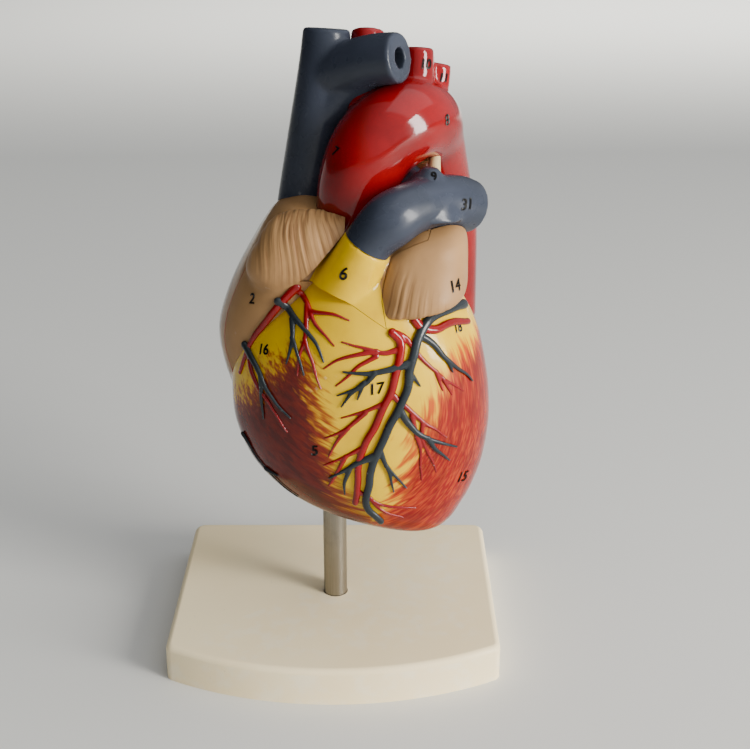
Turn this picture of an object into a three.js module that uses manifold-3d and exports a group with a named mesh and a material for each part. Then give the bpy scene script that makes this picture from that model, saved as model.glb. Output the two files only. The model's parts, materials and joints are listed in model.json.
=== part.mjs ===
// A life-size human heart teaching model on a rod and a moulded base.
// Millimetres, +Z up, +Y to the back. The origin is the middle of the base's underside, on the rod's axis.
import * as THREE from "three";
import { mergeVertices } from "three/addons/utils/BufferGeometryUtils.js";
import Module from "manifold-3d";

const wasm = await Module();
wasm.setup();

// Fits and clearances
const pieceGap = 0.35; // between bonded or resting pieces
const seamGap = 0.4; // between the front wall and the back of the heart
const slipGap = 0.3; // round the rod and the screw

// Base: a hollow moulding with a straight back, flat sides and a bowed front
const baseWidth = 130;
const baseDepth = 117; // at the middle of the bowed front
const baseBow = 17; // how far the front bows out past its corners
const baseThickness = 15;
const baseWall = 3;
const baseCorner = 5;
const baseEdgeRound = 2.4;
const baseRibWall = 2.4;
const baseRibDrop = 9; // how far the ribs hang below the top skin
const baseBowShare = 0.97; // of the bow's arc, before its rounded ends
const bossRadius = 10;
const rodSeatDepth = 7.5; // how deep the rod stands in the boss
const screwRecess = 5; // room for the screw's head under the boss
const bossRim = 1; // how far the boss reaches past that room
const padRadius = 6; // round pads that the base stands on, beside its rim
const padInset = 15; // from the sides and the back
const padFrontInset = 9; // from the front corners

// Rod and its fixing
const rodRadius = 4.75;
const rodBare = 47; // from the base's top to the heart's underside
const rodInsert = 36; // how far it reaches into the heart
const screwShankRadius = 2.5;
const screwShankLength = 12;
const screwHeadRadius = 4.6;
const screwHeadHeight = 2.6;
const screwSlotWidth = 1;
const screwSlotDepth = 1;
const washerRadius = 6.2;
const washerThickness = 1;

// Heart shell
const rightWall = 5; // right ventricle
const leftWall = 9; // left ventricle
const atrialWall = 3.5;
const earSquare = 2.6; // how full the corners of the auricles' sections are
const endRise = 2; // height of the rounded ends of a hollow
const socketWall = 2.4;
const socketCap = 3; // closes the socket above the rod's end
const socketMouth = 2; // height of the socket's lower rim
const socketBossWall = 3;
const seamPlane = -10.5; // where the front wall parts from the back, along Y
const magnetRadius = 3.2;
const magnetThickness = 2.4;
const vesselWall = 2.4;
const branchWall = 1.8;
const veinWall = 2;
const boreSides = 12;
const boreReach = 2; // how far a bore runs past its vessel's ends
const vesselRaise = 0.35; // share of a surface vessel's radius by which its centre stands off the heart
const broadVessel = 1.4; // surface vessels wider than this are rounder

// Colours
const paint = {
  ivory: [0xece4d6, 0.45, 0],
  steel: [0xa9a59c, 0.35, 1],
  zinc: [0xb8b8b8, 0.4, 1],
  muscle: [0x9a3a2e, 0.35, 0],
  fat: [0xe3c32a, 0.3, 0],
  auricle: [0xb88f68, 0.45, 0],
  lining: [0xc98472, 0.4, 0],
  artery: [0xb3222a, 0.25, 0],
  vein: [0x4d5563, 0.35, 0],
  valve: [0xe9dcc2, 0.4, 0],
  magnet: [0xc4c4c6, 0.3, 1],
};

// Turns a closed three.js geometry into a solid that can be joined and cut.
function solid(geometry) {
  const bare = geometry.clone();
  bare.deleteAttribute("normal");
  bare.deleteAttribute("uv");
  const merged = mergeVertices(bare, 1e-4);
  return new wasm.Manifold(
    new wasm.Mesh({
      numProp: 3,
      vertProperties: new Float32Array(merged.attributes.position.array),
      triVerts: new Uint32Array(merged.index.array),
    }),
  );
}

function geometryOf(body) {
  const mesh = body.getMesh();
  const geometry = new THREE.BufferGeometry();
  geometry.setAttribute("position", new THREE.BufferAttribute(mesh.vertProperties, 3));
  geometry.setIndex(new THREE.BufferAttribute(mesh.triVerts, 1));
  const loose = geometry.toNonIndexed();
  loose.computeVertexNormals();
  return loose;
}

const joined = (bodies) => bodies.reduce((sum, body) => sum.add(body));
const cutBy = (body, tools) => tools.reduce((rest, tool) => rest.subtract(tool), body);

// The largest body left after a cut, without any crumbs.
function largest(body) {
  return body.decompose().reduce((best, next) => (next.volume() > best.volume() ? next : best));
}

function block(low, high) {
  const size = high.map((value, axis) => value - low[axis]);
  const middle = high.map((value, axis) => (value + low[axis]) / 2);
  return solid(new THREE.BoxGeometry(...size).translate(...middle));
}

// A round bar between two points.
function bar(from, to, radius, sides = 24, endRadius = radius) {
  const start = new THREE.Vector3(...from);
  const end = new THREE.Vector3(...to);
  const along = end.clone().sub(start);
  const geometry = new THREE.CylinderGeometry(endRadius, radius, along.length(), sides);
  geometry.applyQuaternion(
    new THREE.Quaternion().setFromUnitVectors(new THREE.Vector3(0, 1, 0), along.clone().normalize()),
  );
  return solid(geometry.translate(...start.add(end).multiplyScalar(0.5).toArray()));
}

// An outline in the X-Z plane carried along Y.
function prism(outline, front, back) {
  const shape = new THREE.Shape(outline.map(([x, z]) => new THREE.Vector2(x, z)));
  const geometry = new THREE.ExtrudeGeometry(shape, { depth: back - front, bevelEnabled: false });
  return solid(geometry.rotateX(Math.PI / 2).translate(0, back, 0));
}

// A smooth curve through a list of points.
const smooth = (points) => new THREE.CatmullRomCurve3(points, false, "catmullrom", 0.5);

// Closes a stack of equal rings, with a point at each end, into one geometry.
function skin(rings, startPoint, endPoint) {
  const sides = rings[0].length;
  const positions = [startPoint, ...rings.flat(), endPoint].flatMap((point) => point.toArray());
  const index = [];
  const at = (ring, side) => 1 + ring * sides + (side % sides);
  const last = 1 + rings.length * sides;
  for (let side = 0; side < sides; side++) {
    index.push(0, at(0, side + 1), at(0, side));
    for (let ring = 0; ring + 1 < rings.length; ring++) {
      index.push(at(ring, side), at(ring, side + 1), at(ring + 1, side + 1));
      index.push(at(ring, side), at(ring + 1, side + 1), at(ring + 1, side));
    }
    index.push(last, at(rings.length - 1, side), at(rings.length - 1, side + 1));
  }
  const geometry = new THREE.BufferGeometry();
  geometry.setAttribute("position", new THREE.Float32BufferAttribute(positions, 3));
  geometry.setIndex(index);
  return geometry;
}

// A chamber is a stack of level sections: [height, left, right, front, back, waist], where waist is the depth
// at which the section is widest. The first and last are its lowest and highest points.
// grow moves its whole surface outwards; a square of 2 gives ellipses, and more gives fuller corners.
function chamber(sections, { rings, sides, grow = 0, square = 2 }) {
  const full = (value) => Math.sign(value) * Math.abs(value) ** (2 / square);
  const column = (pick) => smooth(sections.map(pick));
  const widths = column(([z, left, right]) => new THREE.Vector3(left, right, z));
  const depths = column(([z, , , front, back]) => new THREE.Vector3(front, back, z));
  const waists = column(([z, , , , , waist]) => new THREE.Vector3(waist, 0, z));
  const low = sections[0][0];
  const high = sections[sections.length - 1][0];
  const middle = (low + high) / 2;
  const stretch = 1 + (2 * grow) / (high - low);
  const level = (z) => middle + (z - middle) * stretch;
  const stack = [];
  for (let ring = 1; ring < rings; ring++) {
    const share = ring / rings;
    const across = widths.getPoint(share);
    const through = depths.getPoint(share);
    const waist = waists.getPoint(share).x;
    const centre = (across.x + across.y) / 2;
    const halfWidth = (across.y - across.x) / 2 + grow;
    const points = [];
    for (let side = 0; side < sides; side++) {
      const turn = (side / sides) * Math.PI * 2;
      const reach = Math.sin(turn) < 0 ? waist - through.x + grow : through.y - waist + grow;
      points.push(
        new THREE.Vector3(
          centre + halfWidth * full(Math.cos(turn)),
          waist + reach * full(Math.sin(turn)),
          level(across.z),
        ),
      );
    }
    stack.push(points);
  }
  const tip = ([z, left, right, , , waist]) => new THREE.Vector3((left + right) / 2, waist, level(z));
  return skin(stack, tip(sections[0]), tip(sections[sections.length - 1]));
}

// A tube through stations of [x, y, z, radius]; grow widens it and reach runs it past both ends.
function tube(stations, { sides = 16, steps = 16, grow = 0, reach = 0 } = {}) {
  const path = smooth(stations.map(([x, y, z]) => new THREE.Vector3(x, y, z)));
  const radii = smooth(stations.map(([, , , radius], place) => new THREE.Vector3(radius, place, 0)));
  const rings = [];
  const centres = [];
  const start = path.getTangent(0);
  let side = new THREE.Vector3(0, start.x, -start.y);
  if (Math.abs(start.x) < Math.abs(start.z)) side = new THREE.Vector3(1, 0, 0);
  for (let step = 0; step <= steps; step++) {
    const share = step / steps;
    const centre = path.getPoint(share);
    const along = path.getTangent(share);
    if (step === 0) centre.addScaledVector(along, -reach);
    if (step === steps) centre.addScaledVector(along, reach);
    side = side.clone().addScaledVector(along, -side.dot(along)).normalize();
    const other = along.clone().cross(side);
    const radius = radii.getPoint(share).x + grow;
    const points = [];
    for (let place = 0; place < sides; place++) {
      const turn = (place / sides) * Math.PI * 2;
      points.push(
        centre
          .clone()
          .addScaledVector(side, radius * Math.cos(turn))
          .addScaledVector(other, radius * Math.sin(turn)),
      );
    }
    rings.push(points);
    centres.push(centre);
  }
  return skin(rings, centres[0], centres[steps]);
}

// The heart's outer forms, with heights measured from its underside at the rod.
const ventricles = [
  [-6, 33, 33, -17, -17, -17],
  [-4.5, 22, 42, -27, -6, -17],
  [-2, 8, 46.5, -31, 2, -15],
  [3, -8, 50.5, -34.5, 9, -12],
  [10, -21, 54.5, -37, 15.5, -10],
  [21, -31.5, 58.3, -39.5, 22, -8],
  [35, -37.3, 60.2, -41, 27, -7],
  [48, -38.5, 59.8, -41.5, 29.5, -6],
  [60, -37.5, 58, -41.5, 30.5, -5],
  [72, -34, 55, -40.5, 30, -4],
  [82, -27, 50, -38.5, 27.5, -3],
  [90, -19, 44, -35.5, 23, -3],
  [97, -10.5, 36, -30.5, 17, -4],
  [101.5, 0, 26, -21, 9, -5],
  [103, 12, 12, -6, -6, -6],
];
// The thick muscle round the left ventricle; its left side is the wall between the ventricles.
const leftMuscle = [
  [-6, 33, 33, -17, -17, -17],
  [0, 12, 49, -33, 5, -14],
  [10, 7.5, 54.5, -37, 15.5, -10],
  [35, 6.5, 60.2, -41, 27, -7],
  [60, 7.5, 58, -41.5, 30.5, -5],
  [82, 11, 50, -38, 27.5, -3],
  [97, 16, 38, -24, 17, -2],
  [103, 26, 26, -4, -4, -4],
];
const rightAtrium = [
  [43, -34, -34, 2, 2, 2],
  [46, -39, -29, -6, 12, 3],
  [51, -40.8, -24, -11, 16, 3],
  [56, -42, -18, -15, 20, 3],
  [64, -43.4, -9, -19.5, 25, 3],
  [72, -43.2, -3, -22, 28, 3],
  [82, -40.3, 3, -25, 29, 3],
  [92, -36, 7, -26, 29, 4],
  [102, -30.5, 8, -24.5, 26, 4],
  [111, -25, 5, -20, 22, 5],
  [117, -19.5, 0, -12, 17, 7],
  [121, -10, -10, 8, 8, 8],
];
const leftAtrium = [
  [70, 18, 18, 18, 18, 18],
  [73, 0, 36, 6, 32, 20],
  [80, -10, 42, 0, 39, 20],
  [90, -15, 45, -1, 43, 20],
  [100, -16, 44, 6, 44, 24],
  [108, -13, 41, 10, 43, 26],
  [114, -6, 34, 17, 39, 27],
  [117, 13, 13, 28, 28, 28],
];
const leftEar = [
  [84, 26, 26, -28, -28, -28],
  [85, 19, 34, -36, -14, -22],
  [86.7, 17.6, 43.5, -38.5, -9, -18],
  [89, 17.2, 50, -39.3, -5, -15],
  [93, 17, 52.2, -38.4, -3, -13],
  [99, 17.4, 52.6, -35, 0, -11],
  [104, 19.5, 52.6, -31.5, 1, -10],
  [109, 23.5, 52, -28, 2, -9],
  [112.5, 28.5, 49.5, -22.5, 2, -9],
  [114.4, 33, 46, -16.5, 0, -8],
  [115.4, 40, 40, -8, -8, -8],
];
const rightEar = [
  [90, -17, -17, -22, -22, -22],
  [92, -26, -8, -25.5, -10, -16],
  [97, -30.5, -1, -28.4, -8, -17],
  [103, -29.5, 5, -30.2, -6, -18],
  [108, -26.5, 8.5, -30, -6, -18],
  [112.5, -24, 10.5, -28.4, -6, -17],
  [115.5, -21.5, 10, -25.4, -6, -16],
  [117.5, -17, 6, -21, -7, -14],
  [119, -8, -8, -14, -14, -14],
];

// Great vessels, as stations of [x, y, z, radius]
const aortaPath = [
  [8, -1, 102, 14],
  [9.5, -2.5, 113, 15],
  [11, -3, 126, 15.5],
  [16, -3, 139.2, 15.6],
  [26, 2.5, 147, 15.8],
  [34, 11, 145.6, 14.4],
  [38, 20.5, 136.5, 12.2],
  [42.5, 30, 121, 10.6],
  [47, 36.5, 100, 9.9],
  [48.6, 40, 60, 9.2],
];
const archBranches = [
  [[13, 1, 146, 7], [13, 9, 160, 6.6], [13.8, 16, 178, 6.2]],
  [[30, 6, 147, 6.8], [31.5, 9.5, 161, 6.4], [32, 12, 172.4, 5.8]],
  [[35.5, 13, 145, 5.6], [38.5, 16, 156, 5], [40, 18, 165.8, 4.6]],
];
const trunkPath = [
  [3, -21, 84, 15.5],
  [7.5, -24, 96, 12],
  [13.5, -27, 109.7, 8.9],
  [21.2, -26, 117.8, 10],
  [29.5, -20.5, 121.3, 9.4],
  [37.5, -13, 121.6, 9.6],
  [45.5, -6, 119.3, 10.2],
  [51, -1, 116.7, 9.8],
];
const rightTrunkBranch = [
  [32, -14, 121.8, 8],
  [27, 5, 124, 7.8],
  [16, 19.5, 124.5, 7.4],
  [2, 27, 124, 7.1],
  [-13, 30, 122.5, 6.6],
];
const coneBore = [
  [3, -21, 74, 8],
  [7.5, -24, 96, 8],
];
const trunkSeat = 0.286; // where along its path the grey trunk takes over from the yellow cone
const upperCava = [
  [-12, 10, 106, 10],
  [-9.8, 12.5, 120, 10],
  [-4.1, 12.5, 150, 10.3],
  [-2, 12.5, 166, 9.6],
  [-1.2, 14, 179, 8.6],
];
const leftHeadVein = [
  [-2, 12.5, 162, 9.8],
  [7, 6.5, 166, 9.6],
  [16, 0.5, 169.6, 9.3],
  [25.2, -4.5, 171.3, 9],
];
const headWeb = [
  [-4, 12.5, 147, 9.6],
  [6, 10, 158, 9.4],
  [14.5, 5, 167, 9],
];
const lowerCava = [
  [-20, 16, 66, 9],
  [-21, 29, 50, 9],
  [-22, 34, 36, 8.8],
];
const lungVeins = {
  right_upper_pulmonary_vein: [[-6, 30, 103, 5.4], [-22, 35, 105.5, 5]],
  right_lower_pulmonary_vein: [[-6, 30, 88, 5.4], [-24, 36, 86, 5]],
  left_upper_pulmonary_vein: [[30, 22, 105, 5.2], [49, 14.5, 107, 4.8]],
  left_lower_pulmonary_vein: [[30, 20, 91, 5.2], [49, 13.5, 89.5, 4.8]],
};
const ligament = { from: [38, -7, 127], to: [38.5, 14, 137], radius: 2.2 };

// Edge of the opening in the front wall that frames the yellow cone, seen from the front, in x and z
const notch = [
  [110, 118], [38.5, 118], [35, 111], [30, 109.4], [25.1, 107.2], [22, 105], [20.3, 101], [19, 95.5],
  [18.6, 91], [20.2, 82], [11.6, 87.9], [5.8, 91.6], [-1, 94.4], [-6, 95.7], [-10.4, 96], [-7.4, 98.6],
  [-3.8, 102.6], [0.5, 107.8], [5.7, 113.6], [5.9, 118], [5.9, 220], [110, 220],
];

// Valves and the muscles that their cords run to
const aorticSeat = 0.1; // along the aorta
const trunkValveSeat = 0.42; // along the trunk
const valveSides = 16;
const mitral = { centre: [29, 10, 76], radius: 8, rise: 9, drop: 13, leaves: 2 };
const tricuspid = { centre: [-22, 4, 54], radius: 8, rise: 11, drop: 11, leaves: 3 };
const leafThickness = 1.4;
const mouthShare = 0.35; // of a leaf valve's radius, for the hole at its foot
const slotFoot = 0.4; // of its drop, above which its leaves are joined
const cordTurns = [0.3, 0.8]; // where the cords leave the leaves' rim, in turns
const cordRadius = 0.7;
const pocketRise = 0.35; // of a pocket valve's radius
const pocketShoulder = [0.55, 0.75]; // shares of its radius and its rise
const slitWidth = 0.5;
const slitReach = 0.8; // of its radius
const pocketGap = 0.7; // round a pocket valve in its vessel's bent bore
const outflow = { from: [23, -8, 74], to: [8, -2, 106], radius: 6.5 };
const leftMuscles = {
  front_papillary_muscle: { foot: [29, -3, 8], tip: [28, 3, 42], radius: 5, tipRadius: 2.2 },
  back_papillary_muscle: { foot: [38, 10, 10], tip: [33, 10, 42], radius: 5, tipRadius: 2.2 },
};
const rightMuscles = {
  right_papillary_muscle: { foot: [-17, -8, 8], tip: [-19, -3, 36], radius: 4.6, tipRadius: 2 },
};
const magnetSpots = [
  [12, 64],
  [55.6, 38],
  [27, 1],
];

// Surface vessels of the front, as routes of [x, z] seen from the front, with their radius at each end
const rightCoronary = [
  {
    route: [[-11.5, 93.8], [-14, 91.5], [-18.5, 86.5], [-24, 78.5], [-28.5, 72], [-31.5, 65], [-34, 58]],
    wide: 1.6,
    fine: 1,
  },
  { route: [[-12, 93], [-8, 88.5], [-5.5, 84], [-2, 80], [2, 76]], wide: 1.1, fine: 0.7 },
  { route: [[-6.5, 86.5], [1, 86.5], [7.5, 85]], wide: 0.9, fine: 0.6 },
  { route: [[-8, 88], [-8.5, 77.5], [-10.5, 71], [-11.5, 64]], wide: 1, fine: 0.7 },
  { route: [[-8.7, 77.5], [-6.5, 71.5], [-5, 66], [-3, 60]], wide: 0.9, fine: 0.6 },
  { route: [[-30, 68], [-29, 61], [-26.5, 56.5], [-21.5, 50], [-15.5, 41]], wide: 1, fine: 0.7 },
];
const leftCoronary = [
  {
    route: [
      [22, 80.5], [24.8, 77], [25, 72], [24, 67], [22, 59], [19, 53], [16.5, 46], [12.5, 38.5], [10.5, 31],
      [10, 23], [9, 13],
    ],
    wide: 1.8,
    fine: 1.3,
  },
  { route: [[25, 74.5], [20, 73.5], [16, 74.5], [10.5, 76], [4.5, 77.5]], wide: 1.1, fine: 0.7 },
  { route: [[17, 74.3], [9.5, 73], [3, 71], [-2, 67.5]], wide: 1, fine: 0.6 },
  { route: [[20, 55], [13, 52], [4, 49]], wide: 1, fine: 0.6 },
  { route: [[13, 39.5], [6, 44.5], [-2, 40.5]], wide: 1, fine: 0.6 },
  { route: [[12, 37.5], [5.5, 33.5], [-2.5, 30]], wide: 1, fine: 0.6 },
  { route: [[23.5, 80], [27.5, 77.5], [32, 71], [38, 64], [43, 58], [47, 53]], wide: 1.1, fine: 0.7 },
  { route: [[22, 59], [27.5, 52.5], [33.5, 46], [38, 42], [43, 38]], wide: 1.1, fine: 0.7 },
  { route: [[29, 50.5], [31.5, 42], [33, 31.5], [33.5, 21.5]], wide: 0.9, fine: 0.6 },
  { route: [[9.6, 18], [15, 12.5], [22, 9], [29, 6.5]], wide: 0.9, fine: 0.6 },
];
const circumflex = [{ route: [[35.5, 78.8], [40, 79.6], [45, 79], [49.8, 76.2]], wide: 1.5, fine: 1 }];
const greatVein = [
  {
    route: [
      [48.2, 82.2], [44.5, 83.6], [39.5, 84], [35, 82.6], [31.8, 78.4], [29.9, 72.5], [28.6, 66.5], [27.6, 59.5],
      [25, 53], [21.5, 46], [18, 37.5], [15.2, 29.5], [14, 21.5], [14.8, 16],
    ],
    wide: 2,
    fine: 1.5,
  },
  { route: [[29.5, 69.5], [24, 68], [16, 66.5], [10, 66.5], [5, 66]], wide: 1.5, fine: 0.8 },
  { route: [[15, 66.3], [12, 62], [3.5, 58]], wide: 1.1, fine: 0.7 },
  { route: [[17, 34.5], [10.5, 31.5], [5.5, 28], [-0.5, 24]], wide: 1.5, fine: 0.8 },
  { route: [[31.5, 78.6], [37, 75.5], [43, 70.5], [48, 65]], wide: 1.3, fine: 0.8 },
  { route: [[24.8, 52.5], [29, 44], [34.5, 38], [40.5, 34.5]], wide: 1.3, fine: 0.8 },
  { route: [[18, 37], [21, 28.5], [23, 19.5]], wide: 1.1, fine: 0.7 },
];
const frontVeins = [
  { route: [[-18.9, 88.3], [-14.5, 85], [-10, 81.5], [-4.5, 76.5], [-1.5, 70]], wide: 1.4, fine: 0.8 },
  { route: [[-14.5, 83.7], [-14.5, 75.5], [-16, 67.5]], wide: 1.1, fine: 0.8 },
];
const smallVein = [
  { route: [[-30.5, 69], [-27.5, 64.5], [-24, 58.5], [-20, 53], [-14.5, 47]], wide: 1.3, fine: 0.8 },
  { route: [[-25.2, 60.5], [-24.7, 56], [-25.5, 49.5], [-25.5, 43]], wide: 1, fine: 0.7 },
];
// Surface vessels of the back
const coronarySinus = [
  { route: [[43, 74], [30, 67], [14, 64.5], [0, 63], [-8, 62]], wide: 3, fine: 3.6 },
];
const backArtery = [
  { route: [[-6, 56], [-3, 44], [1, 30], [6, 17], [11, 8]], wide: 1.5, fine: 0.9 },
  { route: [[-2, 41], [8, 36], [17, 30]], wide: 1, fine: 0.7 },
  { route: [[2, 27], [-6, 22], [-12, 18]], wide: 1, fine: 0.7 },
];
const backVein = [
  { route: [[2.5, 60], [3.5, 48], [6.5, 34], [11, 20], [15, 11]], wide: 2, fine: 1.1 },
];

// Heights above the table
const underside = baseThickness + rodBare;
const rodFoot = baseThickness - rodSeatDepth;

// The base

function baseOutline(inset) {
  const side = baseWidth / 2 - inset;
  const back = baseDepth / 2 - inset;
  const corner = -(baseDepth / 2 - baseBow) + inset;
  const front = -baseDepth / 2 + inset;
  const bow = corner - front;
  const bowRadius = (side * side + bow * bow) / (2 * bow);
  const bowAngle = Math.asin(side / bowRadius);
  const round = Math.max(baseCorner - inset, 1);
  const shape = new THREE.Shape();
  shape.moveTo(side, back - round);
  shape.absarc(side - round, back - round, round, 0, Math.PI / 2, false);
  shape.absarc(-side + round, back - round, round, Math.PI / 2, Math.PI, false);
  shape.lineTo(-side, corner + round / 2);
  const down = -Math.PI / 2;
  const swing = bowAngle * baseBowShare;
  shape.absarc(0, front + bowRadius, bowRadius, down - swing, down + swing, false);
  shape.lineTo(side, corner + round / 2);
  return shape;
}

function baseBlock(inset, low, high, edge) {
  const geometry = new THREE.ExtrudeGeometry(baseOutline(inset), {
    depth: high - low - edge,
    bevelEnabled: edge > 0,
    bevelThickness: edge,
    bevelSize: edge,
    bevelOffset: -edge,
    bevelSegments: 2,
    curveSegments: 5,
  });
  return solid(geometry.translate(0, 0, low));
}

function basePlate() {
  const shell = baseBlock(0, 0, baseThickness, baseEdgeRound).intersect(
    block([-baseWidth, -baseDepth, 0], [baseWidth, baseDepth, baseThickness + 1]),
  );
  const ceiling = baseThickness - baseWall;
  const hollow = baseBlock(baseWall, -1, ceiling, 0);
  const ribFoot = ceiling - baseRibDrop;
  const ribEnd = [(baseWidth - baseWall) / 2, (baseDepth - baseWall) / 2];
  const ribs = [
    block([-ribEnd[0], -baseRibWall / 2, ribFoot], [ribEnd[0], baseRibWall / 2, ceiling + 1]),
    block([-baseRibWall / 2, -ribEnd[1], ribFoot], [baseRibWall / 2, ribEnd[1], ceiling + 1]),
  ];
  const boss = bar([0, 0, screwRecess], [0, 0, ceiling + 1], bossRadius, 16);
  const pads = padSpots().map(([x, y]) => bar([x, y, 0], [x, y, ceiling + 1], padRadius, 12));
  const body = joined([cutBy(shell, [hollow]), boss, ...ribs, ...pads]);
  const headRoom = bar([0, 0, -1], [0, 0, screwRecess], bossRadius - bossRim, 16);
  const seat = bar([0, 0, rodFoot], [0, 0, baseThickness + 1], rodRadius + slipGap, 20);
  const screwHole = bar([0, 0, 0], [0, 0, rodFoot + 1], screwShankRadius + slipGap, 16);
  return cutBy(body, [headRoom, seat, screwHole]);
}

function padSpots() {
  const across = baseWidth / 2 - padInset;
  const back = baseDepth / 2 - padInset;
  const front = -(baseDepth / 2 - baseBow) + padFrontInset;
  return [[-across, front], [across, front], [-across, back], [across, back]];
}

function supportRod() {
  const top = underside + rodInsert;
  const rod = bar([0, 0, rodFoot + slipGap], [0, 0, top], rodRadius, 20);
  const tapEnd = rodFoot + slipGap + screwShankLength;
  return cutBy(rod, [bar([0, 0, 0], [0, 0, tapEnd], screwShankRadius + slipGap, 16)]);
}

function rodWasher() {
  const top = screwRecess - slipGap;
  const ring = bar([0, 0, top - washerThickness], [0, 0, top], washerRadius, 20);
  return cutBy(ring, [bar([0, 0, 0], [0, 0, top + 1], screwShankRadius + slipGap, 16)]);
}

function rodScrew() {
  const headTop = screwRecess - slipGap - washerThickness - slipGap;
  const headFoot = headTop - screwHeadHeight;
  const head = bar([0, 0, headFoot], [0, 0, headTop], screwHeadRadius, 20);
  const shankTop = headTop + screwShankLength;
  const shank = bar([0, 0, headTop - screwSlotDepth], [0, 0, shankTop], screwShankRadius, 16);
  const slot = block(
    [-screwSlotWidth / 2, -screwHeadRadius, headFoot - 1],
    [screwSlotWidth / 2, screwHeadRadius, headFoot + screwSlotDepth],
  );
  return cutBy(joined([head, shank]), [slot]);
}

// The chambers

// A chamber's own sections drawn in by its wall, without those that the wall fills.
function hollowOf(sections, wall) {
  const low = sections[0][0];
  const high = sections[sections.length - 1][0];
  const shrink = 1 - (2 * wall) / (high - low);
  const level = (z) => (low + high) / 2 + (z - (low + high) / 2) * shrink;
  const kept = sections
    .filter(([, left, right, front, back]) => right - left > 3 * wall && back - front > 3 * wall)
    .map(([z, left, right, front, back, waist]) => [
      level(z), left + wall, right - wall, front + wall, back - wall, waist,
    ]);
  const end = ([z, left, right, , , waist], shift) => {
    const middle = (left + right) / 2;
    return [z + shift, middle, middle, waist, waist, waist];
  };
  return [end(kept[0], -endRise), ...kept, end(kept[kept.length - 1], endRise)];
}

const cavity = (sections, wall) => solid(chamber(hollowOf(sections, wall), { rings: 7, sides: 12 }));

// The place, direction and radius of a path at a share of its length.
function stationOf(path, share) {
  const curve = smooth(path.map(([x, y, z]) => new THREE.Vector3(x, y, z)));
  const radii = smooth(path.map(([, , , radius], place) => new THREE.Vector3(radius, place, 0)));
  return { centre: curve.getPoint(share), along: curve.getTangent(share), radius: radii.getPoint(share).x };
}

const pipe = (path, grow, sides, steps) => solid(tube(path, { grow, sides, steps }));
const bore = (path, wall, sides, steps) =>
  solid(tube(path, { grow: -wall, reach: boreReach, sides, steps }));

const ventricleForm = (grow = 0) => solid(chamber(ventricles, { rings: 15, sides: 22, grow }));
const rightAtriumForm = (grow = 0) => solid(chamber(rightAtrium, { rings: 10, sides: 16, grow }));
const leftAtriumForm = (grow = 0) => solid(chamber(leftAtrium, { rings: 7, sides: 14, grow }));
const rightEarForm = (grow = 0) =>
  solid(chamber(rightEar, { rings: 8, sides: 14, grow, square: earSquare }));
const leftEarForm = (grow = 0) =>
  solid(chamber(leftEar, { rings: 8, sides: 14, grow, square: earSquare }));
const aortaForm = (grow = 0) =>
  joined([pipe(aortaPath, grow, 16, 16), ...archBranches.map((path) => pipe(path, grow, 10, 3))]);
const upperCavaForm = (grow = 0) =>
  joined([pipe(upperCava, grow, 14, 5), pipe(leftHeadVein, grow, 14, 3), pipe(headWeb, grow, 14, 2)]);
const lowerCavaForm = (grow = 0) => pipe(lowerCava, grow, 14, 5);

const trunkWhole = (grow = 0) => pipe(trunkPath, grow, 16, 12);

// All that lies before the place where the grey trunk takes over from the yellow cone.
function coneSide(shift) {
  const { centre, along } = stationOf(trunkPath, trunkSeat);
  const widest = trunkPath[0][3];
  const near = centre.clone().addScaledVector(along, shift);
  const far = centre.clone().addScaledVector(along, -4 * widest);
  return bar(far.toArray(), near.toArray(), 2 * widest, 24);
}

const trunkForm = (grow = 0) =>
  joined([cutBy(trunkWhole(grow), [coneSide(-grow)]), pipe(rightTrunkBranch, grow, 12, 8)]);
const coneForm = () => trunkWhole().intersect(coneSide(-pieceGap));

const trunkBorePath = [
  ...coneBore,
  ...trunkPath.slice(2).map(([x, y, z, radius]) => [x, y, z, radius - vesselWall]),
];

const trunkBore = () => solid(tube(trunkBorePath, { reach: boreReach, sides: boreSides, steps: 10 }));

const orifice = ({ centre: [x, y, z], radius, rise, drop }) =>
  bar([x, y, z - drop - endRise], [x, y, z + rise], radius, 16);

const socketRadius = rodRadius + slipGap + socketWall;
const socketTop = rodInsert + slipGap + socketCap;
const deep = 4 * rodInsert;

function socketBoss() {
  const radius = socketRadius + pieceGap + socketBossWall;
  const top = socketTop + pieceGap + socketBossWall;
  return joined([
    bar([0, 0, -deep], [0, 0, top], radius, 20),
    block([-radius, 0, -deep], [radius, deep, top]),
  ]);
}

function socketHole() {
  return bar([0, 0, -deep], [0, 0, socketTop + pieceGap], socketRadius + pieceGap, 24);
}

function rodSocket() {
  const sleeve = bar([0, 0, socketMouth], [0, 0, socketTop], socketRadius, 24);
  return cutBy(sleeve, [bar([0, 0, 0], [0, 0, rodInsert + slipGap], rodRadius + slipGap, 20)]);
}

// All the hollow room of the heart, as one solid.
function chambers() {
  const atria = [rightAtriumForm(), leftAtriumForm()];
  const rightVentricle = cutBy(cavity(ventricles, rightWall), [
    solid(chamber(leftMuscle, { rings: 8, sides: 14 })),
    socketBoss(),
    ...atria,
  ]);
  const leftVentricle = cutBy(cavity(leftMuscle, leftWall), [socketBoss(), ...atria]);
  return joined([
    rightVentricle,
    leftVentricle,
    cavity(rightAtrium, atrialWall),
    cavity(leftAtrium, atrialWall),
    orifice(tricuspid),
    orifice(mitral),
    bar(outflow.from, outflow.to, outflow.radius, boreSides),
    trunkBore(),
    bore(upperCava, veinWall, boreSides, 5),
    bore(lowerCava, veinWall, boreSides, 5),
    ...Object.values(lungVeins).map((path) => bore(path, veinWall, 10, 2)),
  ]);
}

function atSeam(depth) {
  return magnetSpots.map(([x, z]) =>
    bar([x, seamPlane - depth, z], [x, seamPlane + depth, z], magnetRadius + slipGap, 16),
  );
}

const magnetPocket = magnetThickness + seamGap / 2 + pieceGap;

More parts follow.
